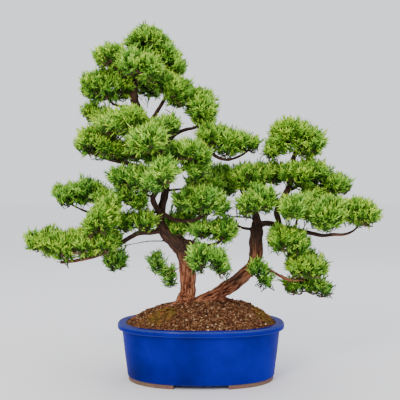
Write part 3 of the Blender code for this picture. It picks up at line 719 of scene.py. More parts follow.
# Rings of the cushion from its buried foot up: share of its half width, and mm over the soil.
CUSHION_RINGS = (
    (0.8, -4.0), (0.86, -2.5), (0.8, -0.4), (0.68, 0.9), (0.52, 1.9), (0.34, 2.4), (0.15, 2.6)
)
SHOOTS_PER_TUFT = 12
for name in ("moss_front_left", "moss_right"):
    low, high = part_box(name)
    centre, half = (low + high) / 2 / MM, (high - low) / 2 / MM
    cushion_rings = []
    for share, lift in CUSHION_RINGS:
        ring = []
        for turn in np.linspace(0, 2 * math.pi, CUSHION_TURNS, endpoint=False):
            cos, sin = math.cos(turn), math.sin(turn)
            ragged = share * (1 + 0.4 * noise.noise(Vector((cos * 2.2, sin * 2.2, half.x))))
            x, y = centre.x + half.x * ragged * cos, centre.y + half.y * ragged * sin
            bump = 1.3 * noise.noise(Vector((x / 7, y / 7, 1.0))) if lift > 0 else 0
            ring.append((x * MM, y * MM, float(soil_top(x, y) + lift + bump) * MM))
        cushion_rings.append(ring)
    cushion_bm = bmesh.new()
    skin(cushion_bm, cushion_rings)
    cushion_mesh = finished_mesh(name + "_cushion", cushion_bm)
    # The cushion takes the dark foot colour, partly painted shade beneath the shoots.
    set_values(cushion_mesh, "along", np.full(len(cushion_mesh.vertices), 0.05))
    set_values(cushion_mesh, "tone", np.full(len(cushion_mesh.vertices), 0.2))
    cushion = add_piece(name + "_cushion", cushion_mesh, [moss_green])

    tufts = rng.uniform(-1.15, 1.15, (int(half.x * half.y * 0.36), 2))
    patchy = np.array([noise.noise(Vector((a * 3.1, b * 3.1, half.x))) for a, b in tufts])
    tufts = tufts[(tufts ** 2).sum(1) < 0.8 + 0.9 * patchy]
    away = rng.normal(0, 1, (len(tufts), SHOOTS_PER_TUFT, 2))
    x = centre.x + half.x * tufts[:, :1] + away[..., 0]
    y = centre.y + half.y * tufts[:, 1:] + away[..., 1]
    lift = 2.6 * (1 - np.minimum((tufts ** 2).sum(1), 1) ** 1.5)[:, None] - 0.5
    roots = np.stack([x, y, soil_top(x, y) + lift], 2).reshape(-1, 3) * MM
    lean = np.concatenate([away * 0.34, np.ones_like(x)[..., None]], 2).reshape(-1, 3)
    lean += rng.normal(0, 0.12, lean.shape)
    long = (rng.uniform(1.3, 4.2, (len(tufts), 1)) * rng.uniform(0.8, 1.15, x.shape)).ravel() * MM
    verts, faces, along = tube_shape([(0, 0, 0), (0.05, 0, 0.5), (0.12, 0, 1)], (0.19, 0.17), 3)
    placed = place_many((verts, faces), roots, lean, long, rng.uniform(0, FULL_TURN, len(long)))
    shoot_mesh = mesh_of(name + "_shoots", [placed])
    set_values(shoot_mesh, "along", np.tile(along, len(long)))
    tones = np.repeat(rng.beta(0.9, 1.1, len(tufts)), SHOOTS_PER_TUFT * len(verts))
    set_values(shoot_mesh, "tone", tones)
    colour_map(shoot_mesh, np.tile(along, len(long)), tones, 3)
    shoots = add_piece(name + "_shoots", shoot_mesh, [moss_green])
    for piece in (cushion, shoots):
        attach(piece, "root")
        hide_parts(name)


# Wood. Living juniper, every limb drawn as its centre line: millimetres from the pot's centre, the
# height counted from the soil's crown, and the radius. The thick limbs are grown into one skin.
LIMBS = {
    "left_trunk": [
        (-28, 0, -45, 22), (-28, 0, -10, 20), (-26, 0, 3, 16.5), (-24, 0, 23, 14),
        (-24, 0, 49, 14.5), (-26, 0, 71, 15), (-31, -2, 91, 15.5), (-42, -5, 106, 16),
        (-57, -5, 119, 14), (-70, -2, 132, 10), (-75, 2, 148, 8.5), (-73, 8, 167, 8),
        (-70, 10, 185, 7.5), (-65, 10, 207, 7.5), (-65, 6, 229, 7), (-70, 2, 255, 7),
        (-79, 0, 281, 7), (-88, 0, 304, 6.5), (-96, 0, 326, 6), (-107, 0, 343, 6.2),
        (-119, -2, 359, 8), (-123, -5, 375, 8), (-123, -5, 394, 6.5), (-116, -2, 420, 5),
        (-103, 0, 450, 3.8), (-96, 0, 472, 2.2),
    ],
    "right_trunk": [
        (-22, 5, -36, 15), (-6, 2, -8, 14), (9, 0, 3, 12.8), (24, 0, 9, 12.5), (42, 0, 21, 12.5),
        (62, 0, 33, 13), (83, 0, 51, 13), (96, 0, 67, 12), (101, 0, 86, 12.5), (101, 0, 108, 12.5),
        (103, 0, 128, 11.5), (103, 0, 146, 9), (99, -10, 161, 6.5), (93, -31, 172, 4.5),
        (96, -62, 180, 2.5),
    ],
    "front_stem": [
        (-74, 5, 161, 5.5), (-82, -18, 174, 5.5), (-87, -25, 189, 5.2), (-79, -30, 203, 4.8),
        (-69, -42, 217, 4.2), (-64, -75, 227, 3.4), (-64, -119, 232, 2.2),
    ],
    "right_fork": [
        (-96, 0, 325, 4.6), (-90, -2, 334, 4.2), (-81, -2, 348, 3.8), (-72, -2, 363, 3.6),
        (-64, 0, 378, 3.4), (-61, 5, 399, 3), (-59, 10, 418, 2.5), (-59, 14, 437, 1.8),
    ],
    "crown_left_branch": [
        (-123, -5, 390, 3.4), (-138, -15, 408, 3), (-153, -25, 425, 2.4), (-171, -30, 438, 1.6),
    ],
    "left_shoulder_branch": [
        (-117, -2, 357, 3.2), (-132, 0, 358, 2.8), (-147, 0, 358, 2.5), (-162, 0, 363, 2.2),
        (-176, 0, 376, 1.8), (-191, 0, 389, 1.4),
    ],
    "upper_left_branch": [
        (-96, 0, 326, 3.4), (-108, -31, 320, 3), (-123, -60, 315, 2.6), (-149, -50, 314, 2.2),
        (-176, -6, 329, 1.8), (-201, 31, 347, 1.4),
    ],
    "second_left_branch": [
        (-67, 8, 222, 5.2), (-90, -8, 238, 4.6), (-114, -18, 247, 4.2), (-141, -22, 254, 3.8),
        (-168, -25, 260, 3.4), (-191, -25, 268, 2.6), (-211, -25, 281, 1.6),
    ],
    "right_shoulder_branch": [
        (-77, 0, 277, 4), (-60, -10, 293, 3.8), (-42, -8, 309, 3.5), (-26, -2, 316, 3.2),
        (-9, 0, 320, 2.6), (4, 0, 337, 1.8),
    ],
    "right_pad_branch": [
        (-65, 8, 224, 5), (-42, -10, 238, 4.6), (-18, -20, 250, 4.2), (2, -22, 268, 3.8),
        (16, -20, 271, 3.5), (33, -18, 262, 3.2), (51, -18, 259, 2.8), (73, -18, 267, 2.3),
        (89, -15, 278, 1.6),
    ],
    "lower_right_branch": [
        (-72, 8, 163, 4), (-53, -8, 152, 3.8), (-31, -28, 148, 3.4), (-9, -48, 151, 3),
        (9, -60, 162, 2.5), (26, -60, 173, 1.7),
    ],
    "low_right_branch": [
        (-33, -2, 110, 5), (-11, -12, 106, 4.4), (11, -22, 103, 3.8), (29, -30, 108, 3),
        (45, -35, 121, 1.8),
    ],
    "middle_left_branch": [
        (-74, 12, 166, 3.6), (-95, 15, 161, 3.2), (-114, 5, 155, 3), (-134, -5, 152, 2.8),
        (-161, 8, 155, 2.6), (-193, 25, 159, 2.4), (-222, 35, 166, 2.2), (-253, 38, 181, 1.5),
    ],
    "lower_left_branch": [
        (-70, -2, 130, 5.6), (-91, -8, 127, 5.2), (-111, -15, 126, 4.8), (-129, -19, 118, 4.5),
        (-145, -20, 107, 4.3), (-165, -20, 95, 4), (-189, -18, 85, 3.7), (-213, -12, 78, 3.4),
        (-235, -10, 74, 3.2), (-258, -8, 71, 2.8),
    ],
    "right_branch": [
        (105, 0, 137, 6), (119, 0, 143, 5.6), (134, -4, 141, 5.3), (150, -8, 136, 5),
        (166, -10, 132, 4.7), (184, -12, 129, 4.3), (203, -15, 125, 3.9), (222, -15, 121, 3.6),
        (242, -15, 123, 3.2), (262, -12, 123, 2.8), (279, -10, 130, 2.2), (292, -8, 143, 1.5),
    ],
    "right_leader": [
        (144, -6, 137, 5.6), (142, 0, 150, 5.6), (140, 2, 163, 5.9), (146, 5, 178, 6.3),
        (155, 8, 194, 6.3), (163, 10, 209, 5.7), (168, 10, 228, 5.1), (170, 8, 246, 4.9),
        (171, 4, 262, 4.8), (175, 0, 279, 3.5), (171, 0, 297, 2.2),
    ],
    "right_leader_fork": [
        (161, 10, 204, 3.8), (175, 15, 209, 3.4), (190, 20, 219, 3), (211, 25, 224, 2.5),
        (238, 28, 219, 1.6),
    ],
    "right_inner_branch": [
        (101, -6, 159, 3.4), (90, 2, 178, 2.9), (79, 5, 194, 2.5), (72, 4, 209, 2.1),
        (79, 0, 227, 1.5),
    ],
    "low_branch": [
        (103, 0, 73, 4), (114, -18, 65, 3.4), (128, -30, 57, 3.2), (143, -35, 49, 3),
        (162, -28, 41, 2.6), (185, -18, 40, 2.2), (207, -2, 33, 1.5),
    ],
}
LEFT_TREE = (
    "left_trunk", "front_stem", "right_fork", "crown_left_branch", "left_shoulder_branch",
    "upper_left_branch", "second_left_branch", "right_shoulder_branch", "right_pad_branch",
    "lower_right_branch", "low_right_branch", "middle_left_branch", "lower_left_branch",
)
RIGHT_TREE = (
    "right_trunk", "right_branch", "right_leader", "right_leader_fork", "right_inner_branch",
    "low_branch",
)

# Limbs too thin for a solid of their own: bare twigs, stubs and surface roots of the same trees.
THIN_LEFT = {
    "left_bare_twig": [
        (-64, 0, 110, 1.5), (-94, 0, 110, 1.4), (-119, 0, 106, 1.2), (-152, 0, 98, 1.1),
        (-162, 6, 84, 0.9),
    ],
    "pale_tuft_twig": [
        (-31, 0, 71, 1.6), (-43, 38, 57, 1.4), (-60, 69, 46, 1.3), (-80, 78, 61, 1.1),
        (-87, 78, 76, 0.9),
    ],
    "curved_twig": [
        (-66, 0, 203, 2.4), (-45, -12, 205, 2.3), (-23, -25, 208, 2.1), (-7, -44, 219, 1.9),
        (2, -56, 234, 1.7), (0, -62, 255, 1.3),
    ],
    "front_low_twig": [
        (-22, -6, 88, 2.6), (-5, -56, 85, 2.2), (14, -100, 82, 1.9), (32, -104, 77, 1.5),
    ],
    "shoulder_spur": [(-43, -6, 309, 1.5), (-45, -28, 333, 1.3), (-65, -32, 350, 1.0)],
    "broken_knob": [
        (-34, -4, 103, 6.5), (-26, -9, 108, 6.0), (-19, -12, 110, 4.2), (-16, -13, 110, 2.0),
    ],
    "left_root": [(-30, -2, 0, 9), (-47, -8, -6, 7), (-62, -17, -11, 4.5), (-78, -24, -17, 2.5)],
    "front_root": [(-28, -3, 2, 8), (-22, -19, -2, 6), (-26, -34, -7, 4), (-21, -48, -13, 2.2)],
    "back_root": [(-26, 4, 2, 8), (-34, 22, -3, 6), (-30, 40, -9, 3.5)],
}
THIN_RIGHT = {
    "inner_twig": [
        (97, 0, 132, 2.9), (79, -5, 134, 2.6), (62, -12, 140, 2.3), (45, -31, 144, 1.9),
        (32, -35, 135, 1.4),
    ],
    "rising_twig": [
        (97, 0, 152, 1.9), (78, 6, 154, 1.7), (58, 25, 155, 1.6), (40, 44, 162, 1.4),
        (29, 56, 185, 1.3), (25, 62, 204, 1.1),
    ],
    "bare_stub": [(67, 14, 155, 1.4), (65, 8, 179, 1.2), (63, 5, 203, 0.9)],
    "drop_twig": [(164, -8, 132, 2.1), (161, -31, 120, 1.8), (157, -56, 106, 1.4)],
    "small_right_twig": [
        (94, 0, 69, 2.0), (102, -31, 70, 1.7), (111, -50, 65, 1.4), (118, -60, 59, 1.0),
    ],
    "surface_root": [
        (34, -4, 5, 7), (56, -10, -2, 5.6), (74, -14, -7, 4.6), (90, -19, -15, 3.4),
        (104, -22, -26, 2.2),
    ],
}
LIMB_STEP = 3.5  # mm between rings along a limb
noise.seed_set(4)  # noise_vector takes its offsets from this, and from the clock without it


def grown_line(points):
    """Centres in metres and radii in millimetres along a smooth line, a little uneven."""
    spots = [Vector(point[:3]) for point in points]
    centres, radii, last = [], [], len(points) - 1
    for i in range(last):
        before, start = spots[max(i - 1, 0)], spots[i]
        end, after = spots[i + 1], spots[min(i + 2, last)]
        steps = max(1, round((end - start).length / LIMB_STEP))
        for step in range(steps + (i == last - 1)):
            t = step / steps
            bend = (end - before) * t + (2 * before - 5 * start + 4 * end - after) * t * t
            bend += (3 * start - before - 3 * end + after) * t ** 3
            centre = start + bend / 2
            radius = points[i][3] + (points[i + 1][3] - points[i][3]) * t
            drift = noise.noise_vector(centre / 14) * radius * 0.13
            centres.append(np.array(centre + drift + Vector((0, 0, CROWN))) * MM)
            radii.append(radius * (1 + 0.12 * noise.noise(centre / 9)))
    return np.array(centres), np.array(radii)


def carried_frames(centres):
    """For each centre: the way along the line and a direction across it that doesn't twist."""
    ahead = np.gradient(centres, axis=0)
    ahead /= np.linalg.norm(ahead, axis=1, keepdims=True)
    across, side = np.empty_like(ahead), np.array([0.0, 1.0, 0.0])
    for i, forward in enumerate(ahead):
        side = side - forward * (side @ forward)
        side /= np.linalg.norm(side)
        across[i] = side
    return ahead, across


def limb_mesh(lines, sides):
    """Every limb as its own closed tube, for the skin to be grown over."""
    bm = bmesh.new()
    turns = np.linspace(0, 2 * math.pi, sides, endpoint=False)
    for centres, radii in lines:
        ahead, across = carried_frames(centres)
        other = np.cross(ahead, across)
        rings = [
            c + (np.cos(turns)[:, None] * a + np.sin(turns)[:, None] * o) * r * MM
            for c, a, o, r in zip(centres, across, other, radii)
        ]
        skin(bm, rings)
    return finished_mesh("limbs", bm)


# Bark. Juniper bark is reddish brown and peels in long fibrous strips, paler on their raised faces
# and dark in the furrows between, and weathers to a dull grey brown in random patches. Higher up
# it is also darkened with painted shade. Its fibres are drawn at 0.9 mm, coarser than real ones, so
# that they show.
FIBRE, FIBRE_STRETCH = 0.909 * MM, 0.14
bark, nodes, shader = new_material("peeling_juniper_bark", Roughness=0.85, Specular_IOR_Level=0.22)
strip = add_node(nodes, "ShaderNodeAttribute", attribute_name="strip")
grain_line = add_node(nodes, "ShaderNodeAttribute", attribute_name="grain")
weather_and_shade = add_node(nodes, "ShaderNodeAttribute", attribute_name="weather_and_shade")
stretched = add_node(
    nodes, "ShaderNodeMapping",
    {"Vector": grain_line.outputs["Vector"], "Scale": (1.0, 1.0, FIBRE_STRETCH)},
)
fibres = add_node(
    nodes, "ShaderNodeTexNoise",
    {"Vector": stretched.outputs["Vector"], "Scale": 1 / FIBRE, "Detail": 4.0, "Roughness": 0.65},
)
mixed = add_node(
    nodes, "ShaderNodeMath", {0: fibres.outputs["Fac"], 1: 0.55, 2: strip.outputs["Fac"]},
    operation="MULTIPLY_ADD",
)
bark_tone = add_node(
    nodes, "ShaderNodeValToRGB", {"Fac": mixed.outputs["Value"]},
    stops=((0.28, "1a0c07"), (0.5, "47210f"), (0.72, "703e28"), (1.0, "a06a4c")),
)
# Toward dark grey brown: random weathered patches, and painted shade on the higher limbs.
weathered_and_shaded = add_node(
    nodes, "ShaderNodeMixRGB",
    {"Fac": weather_and_shade.outputs["Fac"], "Color1": bark_tone.outputs["Color"],
     "Color2": linear("2a201c")},
)
nodes.links.new(weathered_and_shaded.outputs["Color"], shader.inputs["Base Color"])
bark_bump = add_node(
    nodes, "ShaderNodeBump",
    {"Height": fibres.outputs["Fac"], "Strength": 0.7, "Distance": 0.8 * MM},
)
nodes.links.new(bark_bump.outputs["Normal"], shader.inputs["Normal"])

WOOD_VOXEL = 1.25 * MM
LIMB_SIDES = 20
STRIP, STRIP_LENGTH, FINE_STRIP, FINE_STRIP_LENGTH = 2.9, 24, 1.4, 10
WEATHERED_PATCH = 45 * MM
SHADED_FROM = 185 * MM  # the height over the table above which painted shade darkens the bark
wood_points, wood_radii = [], []


def bark_over(mesh, lines):
    """Raises the skin into long bark strips and stores what the bark's colour needs."""
    centres = np.concatenate([line[0] for line in lines])
    radii = np.concatenate([line[1] for line in lines])
    ways = [carried_frames(line[0]) for line in lines]
    ahead = np.concatenate([way[0] for way in ways])
    across = np.concatenate([way[1] for way in ways])
    runs = []
    for number, (line, _) in enumerate(lines):
        steps = np.linalg.norm(np.diff(line, axis=0), axis=1)
        runs.append(np.concatenate([[0], np.cumsum(steps)]) + number * 0.7)
    runs = np.concatenate(runs)
    tree = kdtree.KDTree(len(centres))
    for i, centre in enumerate(centres):
        tree.insert(centre, i)
    tree.balance()
    co = np.empty(len(mesh.vertices) * 3, np.float32)
    mesh.vertices.foreach_get("co", co)
    co = co.reshape(-1, 3).astype(float)
    nearest = np.array([
        min(tree.find_n(point, 4), key=lambda found: found[2] - radii[found[1]] * MM)[1]
        for point in co
    ])
    out = co - centres[nearest]
    along = (out * ahead[nearest]).sum(1)
    other = np.cross(ahead[nearest], across[nearest])
    sideways = (out * across[nearest]).sum(1)
    grain = np.stack([sideways, (out * other).sum(1), runs[nearest] + along], 1)
    strips = np.empty(len(co))
    for i, (a, b, c) in enumerate(grain / MM):
        wide = noise.noise(Vector((a / STRIP, b / STRIP, c / STRIP_LENGTH)))
        fine = noise.noise(Vector((a / FINE_STRIP, b / FINE_STRIP, c / FINE_STRIP_LENGTH + 40)))
        strips[i] = 0.5 + 0.55 * wide + 0.5 * fine
    normal = np.empty(len(co) * 3, np.float32)
    mesh.vertices.foreach_get("normal", normal)
    depth = (radii[nearest] * 0.13).clip(0.12, 1.5) * MM
    co += normal.reshape(-1, 3) * ((strips - 0.55) * 1.15 * depth)[:, None]
    mesh.vertices.foreach_set("co", co.astype(np.float32).ravel())
    mesh.update()
    layer = mesh.attributes.new("grain", "FLOAT_VECTOR", "POINT")
    layer.data.foreach_set("vector", grain.astype(np.float32).ravel())
    set_values(mesh, "strip", strips)
    # Dull patches at random, plus painted shade that darkens the bark the higher it stands over the
    # table.
    patches = np.array([noise.noise(Vector(point) / WEATHERED_PATCH) for point in co])
    dull_and_shaded = 0.1 + 0.7 * patches + 13 * (co[:, 2] - SHADED_FROM)
    set_values(mesh, "weather_and_shade", np.clip(dull_and_shaded, 0.0, 0.88))


for name, names, thin_limbs in (
    ("left_tree_wood", LEFT_TREE, THIN_LEFT), ("right_tree_wood", RIGHT_TREE, THIN_RIGHT),
):
    thick = [grown_line(LIMBS[limb]) for limb in names]
    thin = [grown_line(points) for points in thin_limbs.values()]
    for centres, radii in thick + thin:
        wood_points.append(centres)
        wood_radii.append(radii)
    wood = add_piece(name, limb_mesh(thick + thin, LIMB_SIDES), [bark])
    grown = wood.modifiers.new("one_skin", "REMESH")
    grown.mode = "VOXEL"
    grown.voxel_size = WOOD_VOXEL
    grown.use_smooth_shade = True
    eased = wood.modifiers.new("eased", "SMOOTH")
    eased.factor, eased.iterations = 0.5, 3
    bark_over(settled_mesh(wood), thick + thin)
    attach(wood, "root")
    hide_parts(*names)
wood_points, wood_radii = np.concatenate(wood_points), np.concatenate(wood_radii)


# Foliage. Scale-leaf juniper in clouds. Every cloud is a forking framework of fine twigs, and each
# twig end carries a sprig: a main shoot about 24 mm long with side shoots rising round it. A real
# shoot is about 1.2 mm thick; these are drawn 1.1 to 1.7 mm, with plain sides, so that they show.
MAIN_RADII, SIDE_RADII, FORK_RADII = (0.85, 0.88, 0.75), (0.64, 0.8), (0.56, 0.68)
SHOOT_SIDES = 3


def sprig_shape(rng, side_shoots, length):
    """One sprig in millimetres with its foot at the origin, and how far along each point is."""
    sway = rng.normal(0, 1.3, 2)
    path = np.array([
        (0, 0, 0), (0.3 * sway[0], 0.3 * sway[1], length * 0.42),
        (sway[0], sway[1], length * 0.76), (1.6 * sway[0], 1.6 * sway[1], length),
    ])
    tubes = [tube_shape(path, MAIN_RADII, SHOOT_SIDES) + (0.0, 1.0)]
    for k in range(side_shoots):
        share = 0.1 + 0.8 * (k + rng.uniform(0, 0.6)) / side_shoots
        turn = k * 2.4 + rng.normal(0, 0.3)
        foot = np.array([np.interp(share * length, path[:, 2], path[:, axis]) for axis in range(3)])
        tilt = math.radians(rng.uniform(26, 46) - 14 * share)
        sin = math.sin(tilt)
        way = np.array([sin * math.cos(turn), sin * math.sin(turn), math.cos(tilt)])
        reach = (12.0 - 6.0 * share) * rng.uniform(0.75, 1.25)
        tip = foot + way * reach + (0, 0, reach * 0.22)
        middle = foot + way * reach * 0.55
        start, end = share * 0.75, min(1.0, share + 0.3)
        tubes.append(tube_shape([foot, middle, tip], SIDE_RADII, SHOOT_SIDES, turn) + (start, end))
        if share < 0.8:
            around = np.cross(way, rng.normal(size=3))
            fork = way * 0.85 + around / np.linalg.norm(around) * 0.5
            half = foot + way * reach * 0.4
            small = reach * rng.uniform(0.42, 0.6)
            end_of_fork = half + fork * small + (0, 0, small * 0.15)
            bend = [half, half + fork * small * 0.5, end_of_fork]
            tubes.append(tube_shape(bend, FORK_RADII, SHOOT_SIDES, turn) + (start, end))
    verts = np.concatenate([tube[0] for tube in tubes])
    steps = np.cumsum([0] + [len(tube[0]) for tube in tubes])
    faces = [[i + step for i in face] for tube, step in zip(tubes, steps) for face in tube[1]]
    along = np.concatenate([tube[3] + (tube[4] - tube[3]) * tube[2] for tube in tubes])
    return verts, faces, along


def surface_places(mesh, spacing, rng):
    """Places about this far apart all over a solid, with the outward way at each."""
    mesh.calc_loop_triangles()
    co = np.empty(len(mesh.vertices) * 3, np.float32)
    mesh.vertices.foreach_get("co", co)
    tri = co.reshape(-1, 3).astype(float)[np.array([tri.vertices for tri in mesh.loop_triangles])]
    square = np.cross(tri[:, 1] - tri[:, 0], tri[:, 2] - tri[:, 0])
    area = np.linalg.norm(square, axis=1) / 2
    many = int(area.sum() / spacing ** 2 * 9)
    pick = rng.choice(len(tri), many, p=area / area.sum())
    a, b = rng.uniform(0, 1, (2, many, 1))
    a, b = np.where(a + b > 1, 1 - a, a), np.where(a + b > 1, 1 - b, b)
    points = tri[pick, 0] + a * (tri[pick, 1] - tri[pick, 0]) + b * (tri[pick, 2] - tri[pick, 0])
    normals = square[pick] / (2 * area[pick, None])
    cells = np.floor(points / (spacing * 1.12)).astype(int)
    _, first = np.unique(cells, axis=0, return_index=True)
    return points[first], normals[first]


def lobe_places(lobe, spacing):
    """The same for a soft lobe of growth, given by its centre and half widths in millimetres."""
    half = np.array(lobe[3:], float)
    many = int(4 * math.pi * half.prod() ** (2 / 3) / (spacing / MM) ** 2)
    level = 1 - (2 * np.arange(many) + 1) / many
    turn = np.arange(many) * 2.4
    girth = np.sqrt(1 - level ** 2)
    out = np.stack([np.cos(turn) * girth, np.sin(turn) * girth, level], 1)
    normals = out / half
    normals /= np.linalg.norm(normals, axis=1, keepdims=True)
    return (out * half + lobe[:3] + (0, 0, CROWN)) * MM, normals


def away_from_wood(points, clearance):
    """True for each point that isn't inside or against a limb."""
    keep = np.empty(len(points), bool)
    for i, point in enumerate(points):
        gaps = np.linalg.norm(wood_points - point, axis=1) - wood_radii * MM
        keep[i] = gaps.min() > clearance
    return keep


SPRIG_SPACING = 6.0 * MM
SPRIG_DEPTH = 21 * MM  # from the cloud's surface in to a sprig's foot
SPRIG_LENGTH, SIDE_SHOOTS, SPRIG_KINDS = 24, 8, 8
SPRIGS_PER_TWIG = 10
WOOD_CLEARANCE = 1.5 * MM
UNDERSIDE, UNDERSIDE_SHARE = -0.35, 0.3  # where a cloud faces down, and its share of sprigs there
TINT_PATCH = 28 * MM
HUB_ROUNDS = 6  # rounds of moving each twig fork to the middle of its sprigs
UP = np.array([0, 0, 1.0])
rng = np.random.default_rng(5)
SPRIGS = [sprig_shape(rng, SIDE_SHOOTS, SPRIG_LENGTH) for _ in range(SPRIG_KINDS)]

# The clouds: tint is 0 for fresh lime and 1 for older bluish green; spread is the sprigs' spacing
# against the usual one.
CLOUDS = {name: (0.45, 1.0) for name in sorted(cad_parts) if name.endswith("_foliage")}
CLOUDS["pale_tuft_foliage"] = (0.95, 1.35)
CLOUDS["hanging_left_foliage"] = (0.8, 1.1)
CLOUDS["small_right_foliage"] = (0.6, 1.4)
for name in (
    "lower_left", "raised_left", "crown_left", "upper_left", "second_left", "right_crown",
    "right_end", "right_low",
):
    CLOUDS[name + "_foliage"] = (0.28, 1.0)
for name in (
    "middle_left", "low_front_tier", "low_right_tier", "lower_right", "trunk_front", "mid_left",
):
    CLOUDS[name + "_foliage"] = (0.62, 1.15 if name == "lower_right" else 1.0)

# Growth that reaches a little past its cloud's solid, measured like the limbs.
OUTGROWTHS = {"low_right_tier_foliage": [(-40, -14, 131, 17, 11, 13)]}

clouds = {}
for number, (name, (tint, spread)) in enumerate(CLOUDS.items()):
    rng = np.random.default_rng(100 + number)
    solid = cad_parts[name].data
    points, normals = surface_places(solid, SPRIG_SPACING * spread, rng)
    for lobe in OUTGROWTHS.get(name, ()):
        more_points, more_normals = lobe_places(lobe, SPRIG_SPACING * spread)
        points = np.concatenate([points, more_points])
        normals = np.concatenate([normals, more_normals])
    share = np.where(normals[:, 2] > UNDERSIDE, 1.0, UNDERSIDE_SHARE)
    keep = away_from_wood(points, WOOD_CLEARANCE) & (rng.uniform(size=len(points)) < share)
    points, normals = points[keep], normals[keep]
    axes = normals * 0.8 + UP * 0.5 + rng.normal(0, 0.27, normals.shape)
    axes /= np.linalg.norm(axes, axis=1, keepdims=True)
    stray = rng.uniform(size=(len(points), 1)) < 0.15
    loose = np.where(stray, rng.uniform(0, 8, (len(points), 1)), 0) * MM
    feet = points - axes * (SPRIG_DEPTH - loose)
    sizes = rng.normal(1.0, 0.14, len(feet)).clip(0.65, 1.35)
    patches = np.array([noise.noise(Vector(point) / TINT_PATCH) for point in points])
    tints = np.clip(tint + 0.45 * patches + rng.normal(0, 0.14, len(feet)), 0, 1)
    groups = max(1, round(len(feet) / SPRIGS_PER_TWIG))
    hubs = feet[rng.choice(len(feet), groups, replace=False)]
    for _ in range(HUB_ROUNDS):
        nearest = np.linalg.norm(feet[:, None] - hubs[None], axis=2).argmin(1)
        hubs = np.array([
            feet[nearest == k].mean(0) if (nearest == k).any() else hubs[k] for k in range(groups)
        ])
    hubs -= UP * (5 if groups > 4 else 3) * MM
    clouds[name] = (feet, axes, sizes, tints, hubs, nearest)

# The twig framework: each hub joins the nearest limb or the nearest hub already joined, so that
# twigs fork as they grow, and a twig is thicker the more sprigs it feeds.
hub_places = np.concatenate([hubs for *_, hubs, _ in clouds.values()])
hub_load = np.concatenate([
    np.bincount(nearest, minlength=len(hubs)) for *_, hubs, nearest in clouds.values()
]).astype(float)
gaps = np.linalg.norm(hub_places[:, None] - wood_points[None], axis=2)
LIMBS_FIRST = 1.06  # a hub counts as this much farther off than it is, so limbs come first
source = -1 - gaps.argmin(1)  # under zero: a wood sample; otherwise: another hub
gap = gaps.min(1)
joined, order = np.zeros(len(hub_places), bool), []
while not joined.all():
    here = np.where(joined, np.inf, gap).argmin()
    joined[here] = True
    order.append(here)
    reach = np.linalg.norm(hub_places - hub_places[here], axis=1) * LIMBS_FIRST
    closer = (reach < gap) & ~joined
    gap[closer], source[closer] = reach[closer], here
for here in reversed(order):
    if source[here] >= 0:
        hub_load[source[here]] += hub_load[here]

# Young juniper bark: thin, dull and brown, from dark to pinkish twig by twig.
twig_bark, nodes, shader = new_material("young_juniper_twig", Roughness=0.8, Specular_IOR_Level=0.2)
tone = add_node(nodes, "ShaderNodeAttribute", attribute_name="tint")
twig_tone = add_node(
    nodes, "ShaderNodeValToRGB", {"Fac": tone.outputs["Fac"]},
    stops=((0.0, "2a1b13"), (0.09, "6c5040")),
)
nodes.links.new(twig_tone.outputs["Color"], shader.inputs["Base Color"])

# Scale leaf: waxy but without gloss, lime at its fresh tip and bluer on older sprigs. It darkens
# towards a shoot's foot, partly the real older green and partly painted shade among the sprigs.
leaf, nodes, shader = new_material("juniper_scale_leaf", Roughness=0.55, Specular_IOR_Level=0.2)
along = add_node(nodes, "ShaderNodeAttribute", attribute_name="along")
tint = add_node(nodes, "ShaderNodeAttribute", attribute_name="tint")
# The dark greens at the low end of each ramp are partly painted shade deep in the cloud.
fresh = add_node(
    nodes, "ShaderNodeValToRGB", {"Fac": along.outputs["Fac"]},
    stops=((0.3, "375c0c"), (0.5, "659c1e"), (0.7, "a4d62a"), (0.95, "e2f84c")),
)
older = add_node(
    nodes, "ShaderNodeValToRGB", {"Fac": along.outputs["Fac"]},
    stops=((0.3, "284c14"), (0.5, "4a8a2a"), (0.7, "7cc046"), (0.95, "b4ec6c")),
)
leaf_tone = add_node(
    nodes, "ShaderNodeMixRGB",
    {"Fac": tint.outputs["Fac"], "Color1": fresh.outputs["Color"],
     "Color2": older.outputs["Color"]},
)
nodes.links.new(leaf_tone.outputs["Color"], shader.inputs["Base Color"])

TWIG_SIDES, FINE_TWIG_RADIUS, THICKEST_TWIG = 5, 0.48 * MM, 2.4


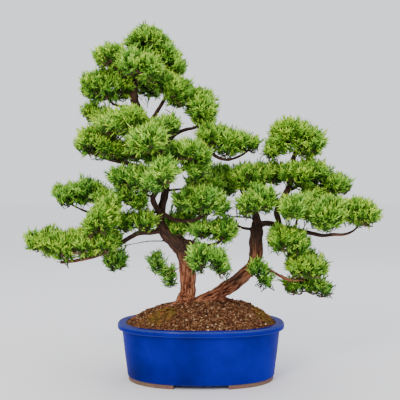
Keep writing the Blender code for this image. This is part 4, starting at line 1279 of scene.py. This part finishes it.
def bent_twig(start, end, radius, rng, droop):
    """A twig from one place to another as a closed tube, bowed a little."""
    way = end - start
    length = np.linalg.norm(way)
    bow = rng.normal(0, 0.07, 3) * length + UP * droop * length
    past_end = end + way / max(length, 1e-6) * MM
    path = [start, start + way * 0.33 + bow, start + way * 0.7 + bow * 0.8, end, past_end]
    return tube_shape(path, np.array([1.15, 1.0, 0.92, 0.85]) * radius, TWIG_SIDES)


first_hub = 0
for number, (name, (feet, axes, sizes, tints, hubs, nearest)) in enumerate(clouds.items()):
    rng = np.random.default_rng(500 + number)
    parts, shares, tones, sprig_faces = [], [], [], 0
    kind = rng.integers(0, len(SPRIGS), len(feet))
    for k, (verts, faces, along_it) in enumerate(SPRIGS):
        mine = kind == k
        if not mine.any():
            continue
        rolls = rng.uniform(0, FULL_TURN, mine.sum())
        parts.append(place_many((verts * MM, faces), feet[mine], axes[mine], sizes[mine], rolls))
        ripeness = rng.uniform(0.58, 1.22, mine.sum()) + 0.35 * (name == "pale_tuft_foliage")
        shares.append(np.minimum(ripeness[:, None] * along_it, 1).ravel())
        tones.append(np.repeat(0.15 + 0.85 * tints[mine], len(verts)))
        sprig_faces += len(faces) * mine.sum()
    for k, hub in enumerate(hubs):
        here = first_hub + k
        start = wood_points[-1 - source[here]] if source[here] < 0 else hub_places[source[here]]
        radius = min(THICKEST_TWIG, 0.42 * hub_load[here] ** 0.36) * MM
        twigs = [bent_twig(start, hub, radius, rng, -0.05)]
        twigs += [bent_twig(hub, foot, FINE_TWIG_RADIUS, rng, 0.03) for foot in feet[nearest == k]]
        for verts, faces, share in twigs:
            counts = np.array([len(face) for face in faces])
            parts.append((verts, np.concatenate(faces), counts))
            shares.append(share)
            tones.append(np.full(len(verts), rng.uniform(0, 0.09)))
    first_hub += len(hubs)
    mesh = mesh_of(name + "_shoots", parts)
    shares, tones = np.concatenate(shares), np.concatenate(tones)
    set_values(mesh, "along", shares)
    set_values(mesh, "tint", tones)
    colour_map(mesh, shares, tones, SHOOT_SIDES)
    foliage = add_piece(name + "_shoots", mesh, [leaf, twig_bark])
    worn = (np.arange(len(mesh.polygons)) >= sprig_faces).astype(np.int32)
    mesh.polygons.foreach_set("material_index", worn)
    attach(foliage, "root")
    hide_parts(name)
